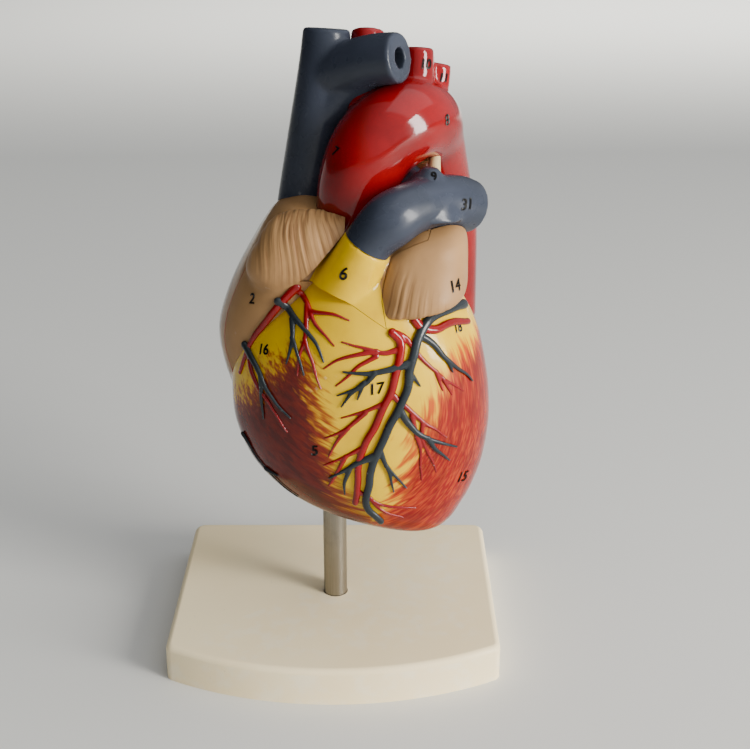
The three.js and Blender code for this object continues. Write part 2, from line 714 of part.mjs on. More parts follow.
function magnet([x, z], side) {
  const near = seamPlane + (side * seamGap) / 2;
  return bar([x, near, z], [x, near + side * magnetThickness, z], magnetRadius, 16);
}

// The notch seen from the front, moved outwards by a distance.
function notchOutline(distance) {
  const points = notch.map(([x, z]) => new THREE.Vector2(x, z));
  const turn = THREE.ShapeUtils.area(points) > 0 ? 1 : -1;
  return points.map((point, place) => {
    const before = points[(place + points.length - 1) % points.length];
    const after = points[(place + 1) % points.length];
    const first = point.clone().sub(before).normalize();
    const second = after.clone().sub(point).normalize();
    const out = new THREE.Vector2(first.y + second.y, -first.x - second.x).multiplyScalar(turn);
    const spread = out.length();
    out.normalize().multiplyScalar((2 * distance) / Math.max(spread, 1));
    return [point.x + out.x, point.y + out.y];
  });
}

const room = 4 * Math.max(baseWidth, baseDepth);
const notchPrism = (distance) => prism(notchOutline(distance), -room, room);
const frontHalf = () => block([-room, -room, -room], [room, seamPlane - seamGap / 2, room]);
const backHalf = () => block([-room, seamPlane + seamGap / 2, -room], [room, room, room]);

// Surface vessels

const caster = new THREE.Raycaster();

function onSurface(skinMesh, [x, z], side, radius) {
  caster.set(new THREE.Vector3(x, side * room, z), new THREE.Vector3(0, -side, 0));
  const hit = caster.intersectObject(skinMesh, false)[0];
  return hit.point.addScaledVector(hit.face.normal, radius * vesselRaise);
}

function surfaceVessel(skinMesh, { route, wide, fine }, side) {
  const steps = route.length - 1;
  const curve = smooth(route.map(([x, z]) => new THREE.Vector3(x, 0, z)));
  const stations = [];
  for (let step = 0; step <= steps; step++) {
    const { x, z } = curve.getPoint(step / steps);
    const radius = wide + ((fine - wide) * step) / steps;
    stations.push([...onSurface(skinMesh, [x, z], side, radius).toArray(), radius]);
  }
  return solid(tube(stations, { sides: wide > broadVessel ? 6 : 4, steps }));
}

const vesselTree = (skinMesh, branches, side) =>
  joined(branches.map((branch) => surfaceVessel(skinMesh, branch, side)));

// Valves

function lathe(profile, sides) {
  const geometry = new THREE.LatheGeometry(profile.map(([x, y]) => new THREE.Vector2(x, y)), sides);
  return geometry.rotateX(Math.PI / 2);
}

function spokes(count, width, reach, low, high) {
  return Array.from({ length: count }, (_, place) => {
    const geometry = new THREE.BoxGeometry(reach, width, high - low);
    geometry.translate(reach / 2, 0, (low + high) / 2);
    return geometry.rotateZ((place / count) * Math.PI * 2);
  });
}

function leafValve({ centre, radius, drop, leaves }, muscleList) {
  const rim = radius - pieceGap;
  const inner = rim - 2 * leafThickness;
  const mouth = mouthShare * radius;
  const profile = [
    [inner, leafThickness], [inner, -leafThickness], [mouth, -drop], [mouth + leafThickness, -drop],
    [rim, -leafThickness], [rim, leafThickness], [inner, leafThickness],
  ];
  const place = (geometry) => solid(geometry.translate(...centre));
  const funnel = place(lathe(profile, valveSides));
  const slots = spokes(leaves, leafThickness, radius, -drop - 1, -slotFoot * drop).map(place);
  const cords = muscleList.flatMap(({ tip }) =>
    cordTurns.map((share) => {
      const turn = (share + 0.5 / leaves) * Math.PI * 2;
      const reach = mouth + leafThickness / 2;
      const [x, y, z] = centre;
      const start = [x + reach * Math.cos(turn), y + reach * Math.sin(turn), z - drop + leafThickness];
      return bar(tip, start, cordRadius, 6);
    }),
  );
  const clear = muscleList.map((muscle) => muscleForm(muscle, pieceGap));
  return largest(cutBy(joined([cutBy(funnel, slots), ...cords]), clear));
}

const muscleForm = ({ foot, tip, radius, tipRadius }, grow = 0) =>
  bar(foot, [tip[0], tip[1], tip[2] + grow], radius + grow, 14, tipRadius + grow);

// A domed disc with three slits, set square across a vessel's bore.
function pocketValve(path, share) {
  const { centre, along, radius: vesselRadius } = stationOf(path, share);
  const acrossFlats = (vesselRadius - vesselWall) * Math.cos(Math.PI / boreSides);
  const radius = acrossFlats - pocketGap;
  const rise = pocketRise * radius;
  const shoulder = [pocketShoulder[0] * radius, -pocketShoulder[1] * rise];
  const profile = [
    [0, -rise], shoulder, [radius, 0], [radius, leafThickness],
    [shoulder[0], leafThickness + shoulder[1]], [0, leafThickness - rise],
  ];
  const turn = new THREE.Quaternion().setFromUnitVectors(new THREE.Vector3(0, 0, 1), along);
  const place = (geometry) => solid(geometry.applyQuaternion(turn).translate(...centre.toArray()));
  const slits = spokes(3, slitWidth, slitReach * radius, -2 * radius, 2 * radius).map(place);
  return cutBy(place(lathe(profile, valveSides)), slits);
}

// Assembly

const root = new THREE.Group();
const heart = new THREE.Group();
heart.position.z = underside;
root.add(heart);

function add(group, name, body, [colour, roughness, metalness]) {
  const material = new THREE.MeshStandardMaterial({ color: colour, roughness, metalness });
  const mesh = new THREE.Mesh(geometryOf(body), material);
  mesh.name = name;
  group.add(mesh);
}

function addStand() {
  add(root, "base_plate", basePlate(), paint.ivory);
  add(root, "support_rod", supportRod(), paint.steel);
  add(root, "rod_washer", rodWasher(), paint.zinc);
  add(root, "rod_screw", rodScrew(), paint.zinc);
}

// The room that the great vessels and the chambers take, with the gap to what lies beside them.
function neighbours() {
  return {
    aorta: aortaForm(pieceGap),
    trunk: trunkForm(pieceGap),
    cava: upperCavaForm(pieceGap),
    chambers: joined([rightAtriumForm(pieceGap), leftAtriumForm(pieceGap), ventricleForm(pieceGap)]),
  };
}

function addBack(hollow, pockets, clear) {
  const fixedSide = joined([backHalf(), notchPrism(0)]);
  const walls = joined([ventricleForm(), rightAtriumForm(), leftAtriumForm(), leftEarForm(), coneForm()]);
  const back = cutBy(walls.intersect(fixedSide), [
    hollow, clear.aorta, clear.trunk, socketHole(), ...pockets,
  ]);
  add(heart, "back_wall", largest(back), paint.muscle);
  add(heart, "rod_socket", rodSocket(), paint.ivory);
}

function addGreatVessels(clear) {
  const aorta = cutBy(aortaForm(), [
    bore(aortaPath, vesselWall, boreSides, 12),
    ...archBranches.map((path) => bore(path, branchWall, 8, 2)),
  ]);
  add(heart, "aorta", aorta, paint.artery);
  const trunkBores = [trunkBore(), bore(rightTrunkBranch, vesselWall, 8, 8)];
  const trunk = cutBy(trunkForm(), [...trunkBores, clear.aorta, clear.cava]);
  add(heart, "pulmonary_trunk", largest(trunk), paint.vein);
  const cavaBores = [bore(upperCava, veinWall, boreSides, 5), bore(leftHeadVein, veinWall, boreSides, 4)];
  const cava = cutBy(upperCavaForm(), [...cavaBores, clear.chambers, clear.aorta]);
  add(heart, "superior_vena_cava", largest(cava), paint.vein);
  const lower = cutBy(lowerCavaForm(), [bore(lowerCava, veinWall, boreSides, 5), clear.chambers]);
  add(heart, "inferior_vena_cava", largest(lower), paint.vein);
  for (const [name, path] of Object.entries(lungVeins)) {
    const lungBore = bore(path, veinWall, 10, 2);
    const beside = [clear.chambers, clear.aorta, clear.trunk, leftEarForm(pieceGap)];
    add(heart, name, largest(cutBy(pipe(path, 0, 12, 3), [lungBore, ...beside])), paint.artery);
  }
  const cord = cutBy(bar(ligament.from, ligament.to, ligament.radius, 12), [clear.aorta, clear.trunk]);
  add(heart, "ligamentum_arteriosum", largest(cord), paint.valve);
}

function addFront(hollow, pockets, clear) {
  const front = cutBy(ventricleForm().intersect(frontHalf()), [hollow, notchPrism(seamGap), ...pockets]);
  add(heart, "front_wall", largest(front), paint.fat);
  const beside = [notchPrism(seamGap), clear.aorta, clear.trunk, clear.cava, ventricleForm(pieceGap)];
  const rightLobe = joined([rightAtriumForm(), rightEarForm()]).intersect(frontHalf());
  add(heart, "right_auricle", largest(cutBy(rightLobe, [hollow, ...beside])), paint.auricle);
  const leftLobe = cutBy(leftEarForm().intersect(frontHalf()), [cavity(leftEar, atrialWall), ...beside]);
  add(heart, "left_auricle", largest(leftLobe), paint.auricle);
}

function addHeart() {
  const hollow = chambers();
  const pockets = atSeam(magnetPocket);
  const clear = neighbours();
  addBack(hollow, pockets, clear);
  addGreatVessels(clear);
  addInner();
  addFront(hollow, pockets, clear);
  addSurfaceVessels();
}

function addInner() {
  const leftRoom = cavity(leftMuscle, leftWall + pieceGap);
  const rightRoom = cutBy(cavity(ventricles, rightWall + pieceGap), [
    solid(chamber(leftMuscle, { rings: 8, sides: 14, grow: pieceGap })),
  ]);
  for (const [name, muscle] of Object.entries(leftMuscles)) {
    add(heart, name, largest(muscleForm(muscle).intersect(leftRoom)), paint.lining);
  }
  for (const [name, muscle] of Object.entries(rightMuscles)) {
    add(heart, name, largest(muscleForm(muscle).intersect(rightRoom)), paint.lining);
  }
  add(heart, "mitral_valve", leafValve(mitral, Object.values(leftMuscles)), paint.valve);
  add(heart, "tricuspid_valve", leafValve(tricuspid, Object.values(rightMuscles)), paint.valve);
  add(heart, "aortic_valve", pocketValve(aortaPath, aorticSeat), paint.valve);
  add(heart, "pulmonary_valve", pocketValve(trunkPath, trunkValveSeat), paint.valve);
  magnetSpots.forEach((spot, place) => {
    add(heart, `back_magnet_${place + 1}`, magnet(spot, 1), paint.magnet);
    add(heart, `front_magnet_${place + 1}`, magnet(spot, -1), paint.magnet);
  });
}

function addSurfaceVessels() {
  const lobes = [ventricleForm(), rightAtriumForm(), leftAtriumForm()];
  const skinMesh = new THREE.Mesh(geometryOf(joined(lobes)), new THREE.MeshStandardMaterial());
  const clear = [
    ventricleForm(pieceGap), rightAtriumForm(pieceGap), leftAtriumForm(pieceGap), leftEarForm(pieceGap),
    rightEarForm(pieceGap), notchPrism(seamGap), lowerCavaForm(pieceGap),
  ];
  const grown = (branches, grow) =>
    branches.map(({ route, wide, fine }) => ({ route, wide: wide + grow, fine: fine + grow }));
  const place = (name, branches, side, colour, before = []) => {
    const cuts = before.map((other) => vesselTree(skinMesh, grown(other, pieceGap), side));
    const half = side < 0 ? frontHalf() : backHalf();
    const tree = vesselTree(skinMesh, branches, side).intersect(half);
    add(heart, name, largest(cutBy(tree, [...clear, ...cuts])), colour);
  };
  place("great_cardiac_vein", greatVein, -1, paint.vein, [leftCoronary, circumflex]);
  place("front_interventricular_artery", leftCoronary, -1, paint.artery);
  place("circumflex_artery", circumflex, -1, paint.artery);
  place("right_coronary_artery", rightCoronary, -1, paint.artery);
  place("anterior_cardiac_veins", frontVeins, -1, paint.vein, [rightCoronary]);
  place("small_cardiac_vein", smallVein, -1, paint.vein, [rightCoronary]);
  place("coronary_sinus", coronarySinus, 1, paint.vein);
  place("back_interventricular_artery", backArtery, 1, paint.artery, [backVein, coronarySinus]);
  place("middle_cardiac_vein", backVein, 1, paint.vein, [coronarySinus]);
}

addStand();
addHeart();

export default root;
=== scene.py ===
"""The looks of a life-size two-part heart teaching model on its rod and moulded base.

Metres, +Z up, +Y to the back of the heart. The heart's own tables are in millimetres, with heights above
its underside at the rod.
"""

import json
import logging
import math
from dataclasses import dataclass
from enum import Enum
from typing import Callable, Iterable, Self, Sequence

import bmesh
import bpy
import numpy as np
from mathutils import Matrix, Vector, noise
from mathutils.bvhtree import BVHTree

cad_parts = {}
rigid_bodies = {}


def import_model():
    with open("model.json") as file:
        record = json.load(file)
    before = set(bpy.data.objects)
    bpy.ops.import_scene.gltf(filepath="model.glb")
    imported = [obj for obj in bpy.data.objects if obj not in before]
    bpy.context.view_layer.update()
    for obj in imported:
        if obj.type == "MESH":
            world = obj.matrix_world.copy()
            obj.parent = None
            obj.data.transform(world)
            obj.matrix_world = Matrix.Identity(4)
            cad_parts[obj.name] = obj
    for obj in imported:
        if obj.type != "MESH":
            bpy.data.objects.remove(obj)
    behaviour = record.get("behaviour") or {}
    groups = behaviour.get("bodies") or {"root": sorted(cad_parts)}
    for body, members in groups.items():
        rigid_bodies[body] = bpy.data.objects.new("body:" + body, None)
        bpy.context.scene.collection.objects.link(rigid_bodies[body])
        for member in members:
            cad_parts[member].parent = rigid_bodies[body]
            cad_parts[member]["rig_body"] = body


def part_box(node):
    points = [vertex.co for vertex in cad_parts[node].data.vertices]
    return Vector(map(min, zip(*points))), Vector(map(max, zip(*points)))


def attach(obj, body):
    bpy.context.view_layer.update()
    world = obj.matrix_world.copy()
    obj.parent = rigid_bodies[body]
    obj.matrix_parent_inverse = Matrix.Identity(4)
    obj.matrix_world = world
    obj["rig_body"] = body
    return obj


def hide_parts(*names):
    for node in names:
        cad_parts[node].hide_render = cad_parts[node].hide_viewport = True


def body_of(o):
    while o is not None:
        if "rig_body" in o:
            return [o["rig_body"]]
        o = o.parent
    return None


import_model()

LOG = logging.getLogger("heart_model")
MM = 0.001
CAMERA_SPOT = (0.0163, -0.4866, 0.3070)

BASE_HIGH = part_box("base_plate")[1]
ROD_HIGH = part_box("support_rod")[1]
ROD_BARE = 47 * MM
UNDERSIDE = BASE_HIGH.z + ROD_BARE
COARSE = 1.0

Rows = tuple[tuple[float, ...], ...]
Ring = Callable[[float], Vector]
Array = np.ndarray
Mesh = bmesh.types.BMesh
Node = bpy.types.Node
Piece = bpy.types.Object
Socket = bpy.types.NodeSocket
Sockets = bpy.types.bpy_prop_collection
Spot = tuple[float, float, float]
Outline = Sequence[Sequence[float]]


class Body(Enum):
    """The bodies that move on their own."""

    STAND = "stand"
    ROD = "rod"
    HEART = "heart"
    FRONT = "front"


class Slot(Enum):
    """The record's material slots."""

    BASE = "base_ivory"
    ROD = "rod_steel"
    SCREW = "screw_zinc"
    MUSCLE = "heart_muscle"
    ARTERY = "artery_red"
    VEIN = "vein_grey"
    AURICLE = "auricle_tan"
    LINING = "lining_pink"
    VALVE = "valve_cream"
    SOCKET = "socket_cream"
    MAGNET = "magnet_nickel"


# Fits and walls, in millimetres
PIECE_GAP = 0.35
TOUCH = 0.04
SEAM_GAP = 0.4
SEEN_GAP = 0.22
SLIP_GAP = 0.3
SEAM_PLANE = -10.5
RIGHT_WALL = 5
LEFT_WALL = 9
ATRIAL_WALL = 3.5
END_RISE = 2
VESSEL_WALL = 2.4
VEIN_WALL = 2
HEAD_VEIN_WALL = 5.4
STUMP_WALL = 3.4
BORE_REACH = 2
ROD_RADIUS = 4.75
SOCKET_WALL = 2.4
SOCKET_RADIUS = ROD_RADIUS + SLIP_GAP + SOCKET_WALL
SOCKET_TOP = 39.3
SOCKET_MOUTH = 2
SOCKET_BOSS_WALL = 3
MAGNET_RADIUS = 3.2
MAGNET_THICKNESS = 2.4
MAGNET_SPOTS = ((12, 64), (55.6, 38), (27, 1))
EAR_SQUARE = 2.6
MITRAL_SPOT = (29, 10, 76)
TRICUSPID_SPOT = (-22, 4, 54)
VALVE_RADIUS = 8

# Round ways between the rooms, as (start, end, radius)
ROOM_WAYS = (
    ((-22, 4, 41), (-22, 4, 65), VALVE_RADIUS), ((29, 10, 61), (29, 10, 85), VALVE_RADIUS),
    ((23, -8, 74), (8, -2, 106), 6.5),
)
# Chamber forms, as level sections of (height, left, right, front, back, waist)
VENTRICLES: Rows = (
    (-6, 33, 33, -17, -17, -17), (-4.5, 22, 42, -27, -6, -17), (-2, 8, 46.5, -31, 2, -15),
    (3, -8, 50.5, -34.5, 9, -12), (10, -21, 54.5, -37, 15.5, -10), (21, -31.5, 58.3, -39.5, 22, -8),
    (35, -37.3, 60.2, -41, 27, -7), (48, -38.5, 59.8, -41.5, 29.5, -6), (60, -37.5, 58, -41.5, 30.5, -5),
    (72, -34, 55, -40.5, 30, -4), (82, -27, 50, -38.5, 27.5, -3), (90, -19, 44, -35.5, 23, -3),
    (97, -10.5, 36, -30.5, 17, -4), (101.5, 0, 26, -21, 9, -5), (103, 12, 12, -6, -6, -6),
)
LEFT_MUSCLE: Rows = (
    (-6, 33, 33, -17, -17, -17), (0, 12, 49, -33, 5, -14), (10, 7.5, 54.5, -37, 15.5, -10),
    (35, 6.5, 60.2, -41, 27, -7), (60, 7.5, 58, -41.5, 30.5, -5), (82, 11, 50, -38, 27.5, -3),
    (97, 16, 38, -24, 17, -2), (103, 26, 26, -4, -4, -4),
)
RIGHT_ATRIUM: Rows = (
    (43, -34, -34, 2, 2, 2), (46, -39, -29, -6, 12, 3), (51, -40.8, -24, -11, 16, 3),
    (56, -42, -18, -15, 20, 3), (64, -43.4, -9, -19.5, 25, 3), (72, -43.2, -3, -22, 28, 3),
    (82, -40.3, 3, -25, 29, 3), (92, -36, 7, -26, 29, 4), (102, -30.5, 8, -24.5, 26, 4),
    (111, -25, 5, -20, 22, 5), (117, -19.5, 0, -12, 17, 7), (121, -10, -10, 8, 8, 8),
)
LEFT_ATRIUM: Rows = (
    (70, 18, 18, 18, 18, 18), (73, 0, 36, 6, 32, 20), (80, -10, 42, 0, 39, 20), (90, -15, 45, -1, 43, 20),
    (100, -16, 44, 6, 44, 24), (108, -13, 41, 10, 43, 26), (114, -6, 34, 17, 39, 27),
    (117, 13, 13, 28, 28, 28),
)
LEFT_EAR: Rows = (
    (83.6, 25, 25, -28, -28, -28), (84.6, 17, 33, -36, -14, -22), (86.4, 14.6, 42.5, -38.5, -9, -18),
    (89, 14.2, 48.2, -39.3, -5, -15), (93, 14, 50, -38.4, -3, -13), (99, 14.4, 50.2, -35, 0, -11),
    (104, 17, 50.2, -31.5, 1, -10), (109, 22.5, 49.8, -28, 2, -9), (112.5, 28.5, 48, -22.5, 2, -9),
    (114.4, 33, 45, -16.5, 0, -8), (115.4, 40, 40, -8, -8, -8),
)
RIGHT_EAR: Rows = (
    (90, -17, -17, -22, -22, -22), (92, -26, -8, -25.5, -10, -16), (97, -30.5, -1, -28.4, -8, -17),
    (103, -29.5, 5, -30.2, -6, -18), (108, -26.5, 8.5, -30, -6, -18), (112.5, -24, 10.5, -28.4, -6, -17),
    (115.5, -21.5, 10, -25.4, -6, -16), (117.5, -17, 6, -21, -7, -14), (119, -8, -8, -14, -14, -14),
)

# Great vessels, as stations of (x, y, z, radius)
AORTA: Rows = (
    (8, -1, 102, 14), (9.5, -2.5, 113, 15), (11, -3, 126, 15.5), (16, -3, 139.2, 15.6),
    (26, 2.5, 147, 15.8), (34, 11, 145.6, 14.4), (38, 20.5, 136.5, 12.2), (42.5, 30, 121, 10.6),
    (47, 36.5, 100, 9.9), (48.6, 40, 60, 9.2),
)
ARCH_BRANCHES: tuple[Rows, ...] = (
    ((13, 1, 146, 7), (13, 9, 160, 6.6), (13.8, 16, 178, 6.2)),
    ((30, 6, 147, 6.8), (31.5, 9.5, 161, 6.4), (32, 12, 172.4, 5.8)),
    ((35.5, 13, 145, 5.6), (38.5, 16, 156, 5), (40, 18, 165.8, 4.6)),
)
TRUNK: Rows = (
    (3, -21, 84, 15.5), (7.5, -24, 96, 12), (13.5, -27, 109.7, 8.9), (21.2, -26, 117.8, 10),
    (29.5, -20.5, 121.3, 9.4), (37.5, -13, 121.6, 9.6), (45.5, -6, 119.3, 10.2), (51, -1, 116.7, 9.8),
)
TRUNK_SEAT = 0.286
RIGHT_TRUNK_BRANCH: Rows = (
    (32, -14, 121.8, 8), (27, 5, 124, 7.8), (16, 19.5, 124.5, 7.4), (2, 27, 124, 7.1),
    (-13, 30, 122.5, 6.6),
)
TRUNK_HUMP: Rows = ((35, -13, 116, 13.5), (35.5, -12.5, 126, 9.6), (36.2, -12, 134, 2.6))
CONE_BORE: Rows = ((3, -21, 74, 8), (7.5, -24, 96, 8))
UPPER_CAVA: Rows = (
    (-12, 10, 106, 10), (-9.8, 12.5, 120, 10), (-4.1, 12.5, 150, 10.3), (-2, 12.5, 166, 9.6),
    (-1.2, 14, 179, 8.6),
)
LEFT_HEAD_VEIN: Rows = (
    (-2, 12.5, 162, 9.8), (7, 6.5, 166, 9.6), (16, 0.5, 169.6, 9.3), (25.2, -4.5, 171.3, 9),
)
HEAD_WEB: Rows = (
    (-4, 12.5, 147, 9.6), (6, 10, 158, 9.4), (14.5, 5, 167, 9),
)
LOWER_CAVA: Rows = ((-20, 16, 66, 9), (-21, 29, 50, 9), (-22, 34, 36, 8.8))
LUNG_VEINS: dict[str, Rows] = {
    "right_upper_pulmonary_vein": ((-6, 30, 103, 5.4), (-22, 35, 105.5, 5)),
    "right_lower_pulmonary_vein": ((-6, 30, 88, 5.4), (-24, 36, 86, 5)),
    "left_upper_pulmonary_vein": ((30, 22, 105, 5.2), (49, 14.5, 107, 4.8)),
    "left_lower_pulmonary_vein": ((30, 20, 91, 5.2), (49, 13.5, 89.5, 4.8)),
}
LIGAMENT: Rows = ((38, -7, 127, 2.2), (38.5, 14, 137, 2.2))
NOTCH: Rows = (
    (110, 118), (38.5, 118), (35, 111), (30, 109.4), (25.1, 107.2), (22, 105), (20.3, 101), (19, 95.5),
    (18.6, 91), (20.2, 82), (11.6, 87.9), (5.8, 91.6), (-1, 94.4), (-6, 95.7), (-10.4, 96), (-7.4, 98.6),
    (-3.8, 102.6), (0.5, 107.8), (5.7, 113.6), (5.9, 118), (5.9, 220), (110, 220),
)


def place(x: float, y: float, z: float) -> Vector:
    """A point of the heart's tables in the frame."""
    return Vector((x * MM, y * MM, UNDERSIDE + z * MM))


class Spline:
    """A smooth curve through rows of numbers, all columns at once."""

    def __init__(self, rows: Outline) -> None:
        """Keeps the rows as an array."""
        self.rows = np.array(rows, float)

    def at(self, share: float) -> Array:
        """The row at a share of the curve.

        Args:
            share: From 0 at the first row to 1 at the last.

        Returns:
            One number for each column.
        """
        last = len(self.rows) - 1
        reach = min(max(share, 0.0), 1.0) * last
        first = min(int(reach), last - 1)
        along = reach - first
        start, end = self.rows[first], self.rows[first + 1]
        before = self.rows[first - 1] if first > 0 else 2 * start - end
        after = self.rows[first + 2] if first + 2 <= last else 2 * end - start
        leave, arrive = (end - before) / 2, (after - start) / 2
        square, cube = along**2, along**3
        return (
            (2 * cube - 3 * square + 1) * start
            + (cube - 2 * square + along) * leave
            + (3 * square - 2 * cube) * end
            + (cube - square) * arrive
        )

    def tangent(self, share: float) -> Vector:
        """The direction of the first three columns at a share of the curve."""
        step = 0.002
        low, high = max(share - step, 0.0), min(share + step, 1.0)
        return Vector((self.at(high) - self.at(low))[:3]).normalized()


def wrapped(rings: Sequence[Ring], around: int) -> Mesh:
    """Bends a grid into a closed form.

    Args:
        rings: One function of the turn, in radians, for each row. The first and last give a point each.
        around: The number of faces round each ring.

    Returns:
        The closed mesh, with its faces pointing out.
    """
    mesh = bmesh.new()
    bmesh.ops.create_grid(mesh, x_segments=around, y_segments=len(rings) - 1, size=1.0)
    for vertex in mesh.verts:
        row = round((vertex.co.y + 1) / 2 * (len(rings) - 1))
        vertex.co = rings[row]((vertex.co.x + 1) * math.pi)
    bmesh.ops.remove_doubles(mesh, verts=mesh.verts, dist=1e-7)
    bmesh.ops.recalc_face_normals(mesh, faces=mesh.faces)
    return mesh


def point_ring(point: Vector) -> Ring:
    """A ring that closes a form in one point."""
    return lambda turn: point


def oval_ring(centre: Vector, side: Vector, up: Vector) -> Ring:
    """An oval with its two half axes."""
    return lambda turn: centre + side * math.cos(turn) + up * math.sin(turn)


def linked(name: str, data: bpy.types.ID) -> Piece:
    """A new object in the scene for a mesh, a curve, a light or a camera."""
    thing = bpy.data.objects.new(name, data)
    bpy.context.scene.collection.objects.link(thing)
    return thing


def rows_of(parts: bpy.types.bpy_prop_collection, name: str) -> Array:
    """A vector that each vertex or face of a mesh holds, one row each."""
    flat = np.empty(len(parts) * 3)
    parts.foreach_get(name, flat)
    return flat.reshape(-1, 3)


class Workpiece:
    """A closed mesh that is joined, cut and smoothed as a casting is, before it becomes a piece."""

    def __init__(self, mesh: Mesh) -> None:
        """Puts the mesh in the scene."""
        self.thing = linked("blank", bpy.data.meshes.new("blank"))
        self.take(mesh)

    def opened(self) -> Mesh:
        """A copy of the mesh to work on."""
        mesh = bmesh.new()
        mesh.from_mesh(self.thing.data)
        return mesh

    def take(self, mesh: Mesh) -> Self:
        """Gives the workpiece another mesh."""
        mesh.to_mesh(self.thing.data)
        mesh.free()
        return self

    def copy(self) -> "Workpiece":
        """Another workpiece with the same mesh."""
        return Workpiece(self.opened())

    def scrap(self) -> None:
        """Takes the workpiece out of the scene."""
        bpy.data.objects.remove(self.thing)

    def joined(self, *others: "Workpiece") -> Self:
        """Adds the meshes of others to this one, and scraps them."""
        mesh = self.opened()
        for other in others:
            mesh.from_mesh(other.thing.data)
            other.scrap()
        return self.take(mesh)

    def settle(self) -> Self:
        """Applies the modifiers."""
        seen = self.thing.evaluated_get(bpy.context.evaluated_depsgraph_get())
        settled = bpy.data.meshes.new_from_object(seen)
        self.thing.modifiers.clear()
        self.thing.data = settled
        return self

    def combine(self, tools: Iterable["Workpiece"], operation: str, keep: bool) -> Self:
        """Joins, cuts or crosses the mesh with each tool.

        Args:
            tools: The other closed meshes.
            operation: UNION, DIFFERENCE or INTERSECT.
            keep: Whether the tools stay in the scene.

        Returns:
            This workpiece.
        """
        tools = list(tools)
        for tool in tools:
            modifier = self.thing.modifiers.new("cut", "BOOLEAN")
            modifier.solver = "MANIFOLD"
            modifier.operation = operation
            modifier.object = tool.thing
        self.settle()
        if not keep:
            for tool in tools:
                tool.scrap()
        return self

    def cut(self, *tools: "Workpiece", keep: bool = False) -> Self:
        """Takes the tools out of the mesh."""
        return self.combine(tools, "DIFFERENCE", keep)

    def fused(self, *others: "Workpiece") -> Self:
        """Adds others to the mesh as one closed form."""
        return self.combine(others, "UNION", keep=False)

    def within(self, *tools: "Workpiece", keep: bool = False) -> Self:
        """Keeps what lies inside every tool."""
        return self.combine(tools, "INTERSECT", keep)

    def remeshed(self, voxel: float, smooth: int = 4) -> Self:
        """Fuses the mesh into even small faces and softens it.

        Args:
            voxel: The size of its faces, in millimetres.
            smooth: How often it is smoothed.

        Returns:
            This workpiece.
        """
        remesh = self.thing.modifiers.new("fuse", "REMESH")
        remesh.mode = "VOXEL"
        remesh.voxel_size = voxel * MM * COARSE
        remesh.use_smooth_shade = True
        if smooth:
            soften = self.thing.modifiers.new("soften", "SMOOTH")
            soften.factor = 0.5
            soften.iterations = smooth
        return self.settle()

    def largest(self) -> Self:
        """Drops all but the largest connected piece of the mesh."""
        mesh = self.opened()
        left = set(mesh.verts)
        best: set[bmesh.types.BMVert] = set()
        while len(left) > len(best):
            island = {left.pop()}
            edge = list(island)
            while edge:
                vertex = edge.pop()
                for line in vertex.link_edges:
                    other = line.other_vert(vertex)
                    if other not in island:
                        island.add(other)
                        edge.append(other)
            left -= island
            best = max(best, island, key=len)
        bmesh.ops.delete(mesh, geom=[v for v in mesh.verts if v not in best], context="VERTS")
        return self.take(mesh)

    def points(self) -> Array:
        """The places of the vertices, one row each."""
        return rows_of(self.thing.data.vertices, "co")

    def push(self, distance: Array) -> Self:
        """Moves each vertex out along its normal by a distance in millimetres."""
        moved = self.points() + rows_of(self.thing.data.vertices, "normal") * distance[:, None] * MM
        self.thing.data.vertices.foreach_set("co", moved.ravel())
        self.thing.data.update()
        return self

    def tree(self) -> BVHTree:
        """A search tree of the mesh."""
        return BVHTree.FromObject(self.thing, bpy.context.evaluated_depsgraph_get())

    def mark(self, name: str, values: Array, domain: str = "POINT") -> Self:
        """Stores a number, or a row of three, for each vertex or face."""
        kind, part = ("FLOAT", "value") if values.ndim == 1 else ("FLOAT_VECTOR", "vector")
        layer = self.thing.data.attributes.new(name, kind, domain)
        layer.data.foreach_set(part, values.astype(np.float32).ravel())
        return self

    def mark_seam(self, plane: float) -> Self:
        """Marks the flat faces that lie on the parting plane, at that Y in millimetres."""
        faces = self.thing.data.polygons
        on_plane = np.abs(rows_of(faces, "center")[:, 1] / MM - plane) < 0.02
        return self.mark("seam", on_plane & (np.abs(rows_of(faces, "normal")[:, 1]) > 0.99), "FACE")

    def finish(self, name: str, finish: "Finish", body: Body, *nodes: str, crease: float = 0.0) -> Piece:
        """Makes the workpiece a piece of the model.

        Args:
            name: The piece's name.
            finish: The finish that it takes.
            body: The body that it rides on.
            *nodes: The solid part that it stands for, if there is one.
            crease: The angle in degrees from which edges stay sharp; at 0 all are smooth.

        Returns:
            The finished piece.
        """
        data = self.thing.data
        self.thing.name = data.name = name
        data.materials.clear()
        data.materials.append(finish.material())
        data.polygons.foreach_set("use_smooth", [True] * len(data.polygons))
        if crease:
            data.set_sharp_from_angle(angle=math.radians(crease))
        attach(self.thing, body.value)
        if nodes:
            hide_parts(*nodes)
        LOG.info("%s: %d faces", name, len(data.polygons))
        return self.thing


